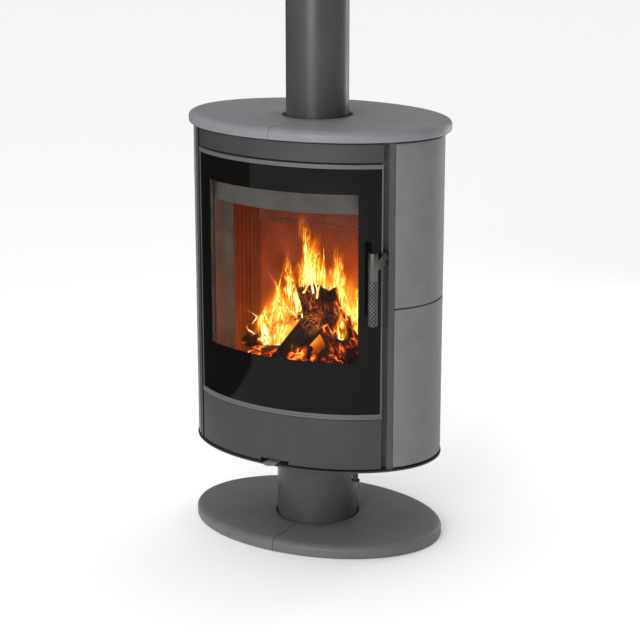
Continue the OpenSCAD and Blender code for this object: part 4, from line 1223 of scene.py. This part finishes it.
def makeCoals():
    # lumps scattered over the bed, turned and scaled at random
    return growTree("scatteredCoals", {"Count": "Float", "Size": "Float", "Seed": "Int"}, {
        "spots": ("DistributePointsOnFaces", {}, {"Mesh": "Geometry", "Density": "Count", "Seed": "Seed"}),
        "ball": ("MeshIcoSphere", {"Subdivisions": 3}, {"Radius": "Size"}),
        "turn": ("RandomValue", {"data_type": "FLOAT_VECTOR", 1: (6.28, 6.28, 6.28)}, {}),
        "scale": ("RandomValue", {"data_type": "FLOAT_VECTOR", 0: (0.35, 0.3, 0.25), 1: (1.0, 0.8, 0.6)},
                  {}),
        "coals": ("InstanceOnPoints", {}, {"Points": "spots", "Instance": "ball", "Rotation": "turn",
                                                       "Scale": "scale"}),
        "loose": ("RealizeInstances", {}, {"Geometry": "coals"}),
        "grain": ("TexVoronoi", {"Scale": 85.0}, {}),
        "middle": ("VectorMath", {"operation": "SUBTRACT", 1: (0.5, 0.5, 0.5)}, "grain.Color"),
        "push": ("VectorMath", {"operation": "SCALE", "Scale": 7 * mm}, "middle"),
        "rough": ("SetPosition", {}, {"Geometry": "loose", "Offset": "push"}),
    })


def bedHeight(x, y):
    # the bed is low on the left and front and heaped on the right
    heaps = 0
    for x0, y0, wide, deep, tall in fire["heaps"]:
        heaps += tall * math.exp(-((x - x0) / wide) ** 2 - ((y - y0) / deep) ** 2)
    return fire["bedHigh"] + heaps + fire["ripple"] * noise.noise(Vector((x * 38, y * 38, 0.3)))


def makeEmberBed():
    x0, x1, y0, y1 = fire["mound"]
    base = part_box("grate")[1].z + 1.2 * mm
    nx, ny = fire["bedGrid"]
    verts = []
    for j in range(ny + 1):
        for i in range(nx + 1):
            x, y = x0 + (x1 - x0) * i / nx, y0 + (y1 - y0) * j / ny
            edge = min(1, 3.2 * min(i / nx, 1 - i / nx) + 0.15) * min(1, 3.0 * min(j / ny, 1 - j / ny) + 0.1)
            verts.append((x, y, base + bedHeight(x, y) * edge))
    corners = [j * (nx + 1) + i for j in range(ny) for i in range(nx)]
    faces = [[a, a + 1, a + nx + 2, a + nx + 1] for a in corners]
    top = toMesh("emberTop", verts, faces)
    coal = glowingCoal("glowingCharcoal")
    under = len(verts)
    verts += [(v[0], v[1], base) for v in verts]
    faces += [[a + under for a in reversed(f)] for f in faces]
    rim = list(range(nx)) + [nx + j * (nx + 1) for j in range(ny)]
    rim += [ny * (nx + 1) + nx - i for i in range(nx)] + [(ny - j) * (nx + 1) for j in range(ny)]
    faces += [[b, a, a + under, b + under] for a, b in zip(rim, rim[1:] + rim[:1])]
    showPiece(toMesh("emberBed", verts, faces), "grate", material=coal, extra=True)
    coals = growMesh("emberCoals", makeCoals(), {"Count": fire["coalCount"], "Size": fire["coalSize"],
                                                 "Seed": fire["seed"], "Material": coal}, top)
    showPiece(coals, "grate", material=coal, extra=True)


def flameSheet(base, tip, width, sway, phase, rows=26, columns=8, belly=0.35):
    # a rising tongue: a cupped sheet that sways and narrows to its tip
    base, tip, face = Vector(base), Vector(tip), math.radians(22)
    across = Vector((math.cos(face), math.sin(face), 0))
    depth = Vector((-math.sin(face), math.cos(face), 0))
    verts, uvs = [], []
    for v in [j / rows for j in range(rows + 1)]:
        middle = base.lerp(tip, v)
        middle += across * (sway * math.sin(phase + 5.2 * v) * (0.3 + v))
        middle += depth * (sway * 0.7 * math.cos(phase + 4.1 * v))
        bulge = 0.55 + belly * math.sin(math.pi * min(1, v * 1.5))
        half = width * bulge * (1 - v ** 2.2) ** 0.9 + 0.6 * mm
        for u in [2 * i / columns - 1 for i in range(columns + 1)]:
            verts.append(middle + depth * (half * 0.5 * (u * u - 0.5)) + across * (half * u))
            uvs.append((u, v))
    corners = [j * (columns + 1) + i for j in range(rows) for i in range(columns)]
    return verts, [[k, k + 1, k + columns + 2, k + columns + 1] for k in corners], uvs


def flameMesh(name, sheets, gas):
    verts, faces, uvs = [], [], []
    for points, quads, places in sheets:
        faces += [[k + len(verts) for k in quad] for quad in quads]
        verts += points
        uvs += places
    mesh = bpy.data.meshes.new(name)
    mesh.from_pydata(verts, [], faces)
    layer = mesh.uv_layers.new(name="grain")
    for loop in mesh.loops:
        layer.data[loop.index].uv = uvs[loop.vertex_index]
    showPiece(mesh, "grate", material=gas, extra=True, slot="glass", crease=180)


def makeFlames():
    sheets = [flameSheet(base, tip, width * fire["spread"], sway, phase)
              for base, tip, width, sway, phase in fire["tongues"]]
    flameMesh("flameTongues", sheets, burningGas("woodGasFlame", 3.6, 0.0))
    sheets = [flameSheet(*halo, belly=0.6) for halo in fire["halos"]]
    flameMesh("flameHalo", sheets, glowingHaze("hotSmokeGlow", 2.0, 1.0))
    draw = random.Random(fire["seed"])
    sheets = []
    for k in range(fire["filaments"]):
        x = draw.uniform(-0.13, 0.14)
        z = 0.50 + 0.07 * math.exp(-((x - 0.05) / 0.07) ** 2) + draw.uniform(-0.02, 0.02)
        tall = draw.uniform(0.05, 0.15) * (0.5 + math.exp(-((x - 0.01) / 0.06) ** 2))
        y = draw.uniform(-0.12, -0.03)
        tip = (x + draw.uniform(-0.03, 0.03), y, z + tall)
        width, sway, phase = (draw.uniform(*ends) for ends in ((0.0025, 0.006), (0.008, 0.02), (0, 6)))
        sheets.append(flameSheet((x, y, z), tip, width, sway, phase, columns=3, rows=30, belly=0.1))
    flameMesh("flameFilaments", sheets, burningGas("hotFilaments", 4.0, 0.4))


def makeFireLight(name, power, place, colour):
    data = bpy.data.lights.new(name, "POINT")
    data.energy, data.shadow_soft_size, data.color = power, fire["lampRadius"], hexColour(colour)[:3]
    lamp = addObject(name, data)
    lamp.location = place
    lamp.visible_camera = lamp.visible_glossy = lamp.visible_transmission = False
    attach(lamp, "stove_body")


makeEmberBed()
for name, start, end, radius, opening, roll, seed, glow in fire["logs"]:
    splitLog(name, start, end, radius, opening, roll, seed, charredWood(name + "Char", glow))
makeFlames()
for lamp in fire["lamps"]:
    makeFireLight(*lamp)
print("fire ready")


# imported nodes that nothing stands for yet: copies that keep their shape, with softened edges

softened = {
    "edge": 0.3 * mm,
    "edges": {"firebox_shell": 0, "bearing_balls": 0, "lower_race": 0, "upper_race": 0, "baffle": 1.2 * mm,
              "hearth_bricks": 1.2 * mm, "handle_arm": 0.6 * mm, "air_lever": 0.4 * mm,
              "tile_pads": 0.4 * mm},
    "looks": {"firebox_shell": insideSteel, "air_rail": firelitRailSteel, "baffle": finishes["lining_brick"]},
}


def softenedCopy(node, packed):
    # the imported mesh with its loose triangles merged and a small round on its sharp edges
    first, *others = node.split("_")
    mesh = packed.data.copy()
    mesh.name = first + "".join(word.capitalize() for word in others)
    work = bmesh.new()
    work.from_mesh(mesh)
    bmesh.ops.remove_doubles(work, verts=work.verts, dist=2e-6)
    bmesh.ops.dissolve_limit(work, angle_limit=math.radians(0.5), verts=work.verts, edges=work.edges)
    work.to_mesh(mesh)
    work.free()
    edge, look = softened["edges"].get(node, softened["edge"]), softened["looks"].get(node)
    showPiece(mesh, node, edge, look, segments=2)


for node, packed in frame["nodes"].items():
    if not packed.hide_render:
        softenedCopy(node, packed)
print("packed shapes softened")
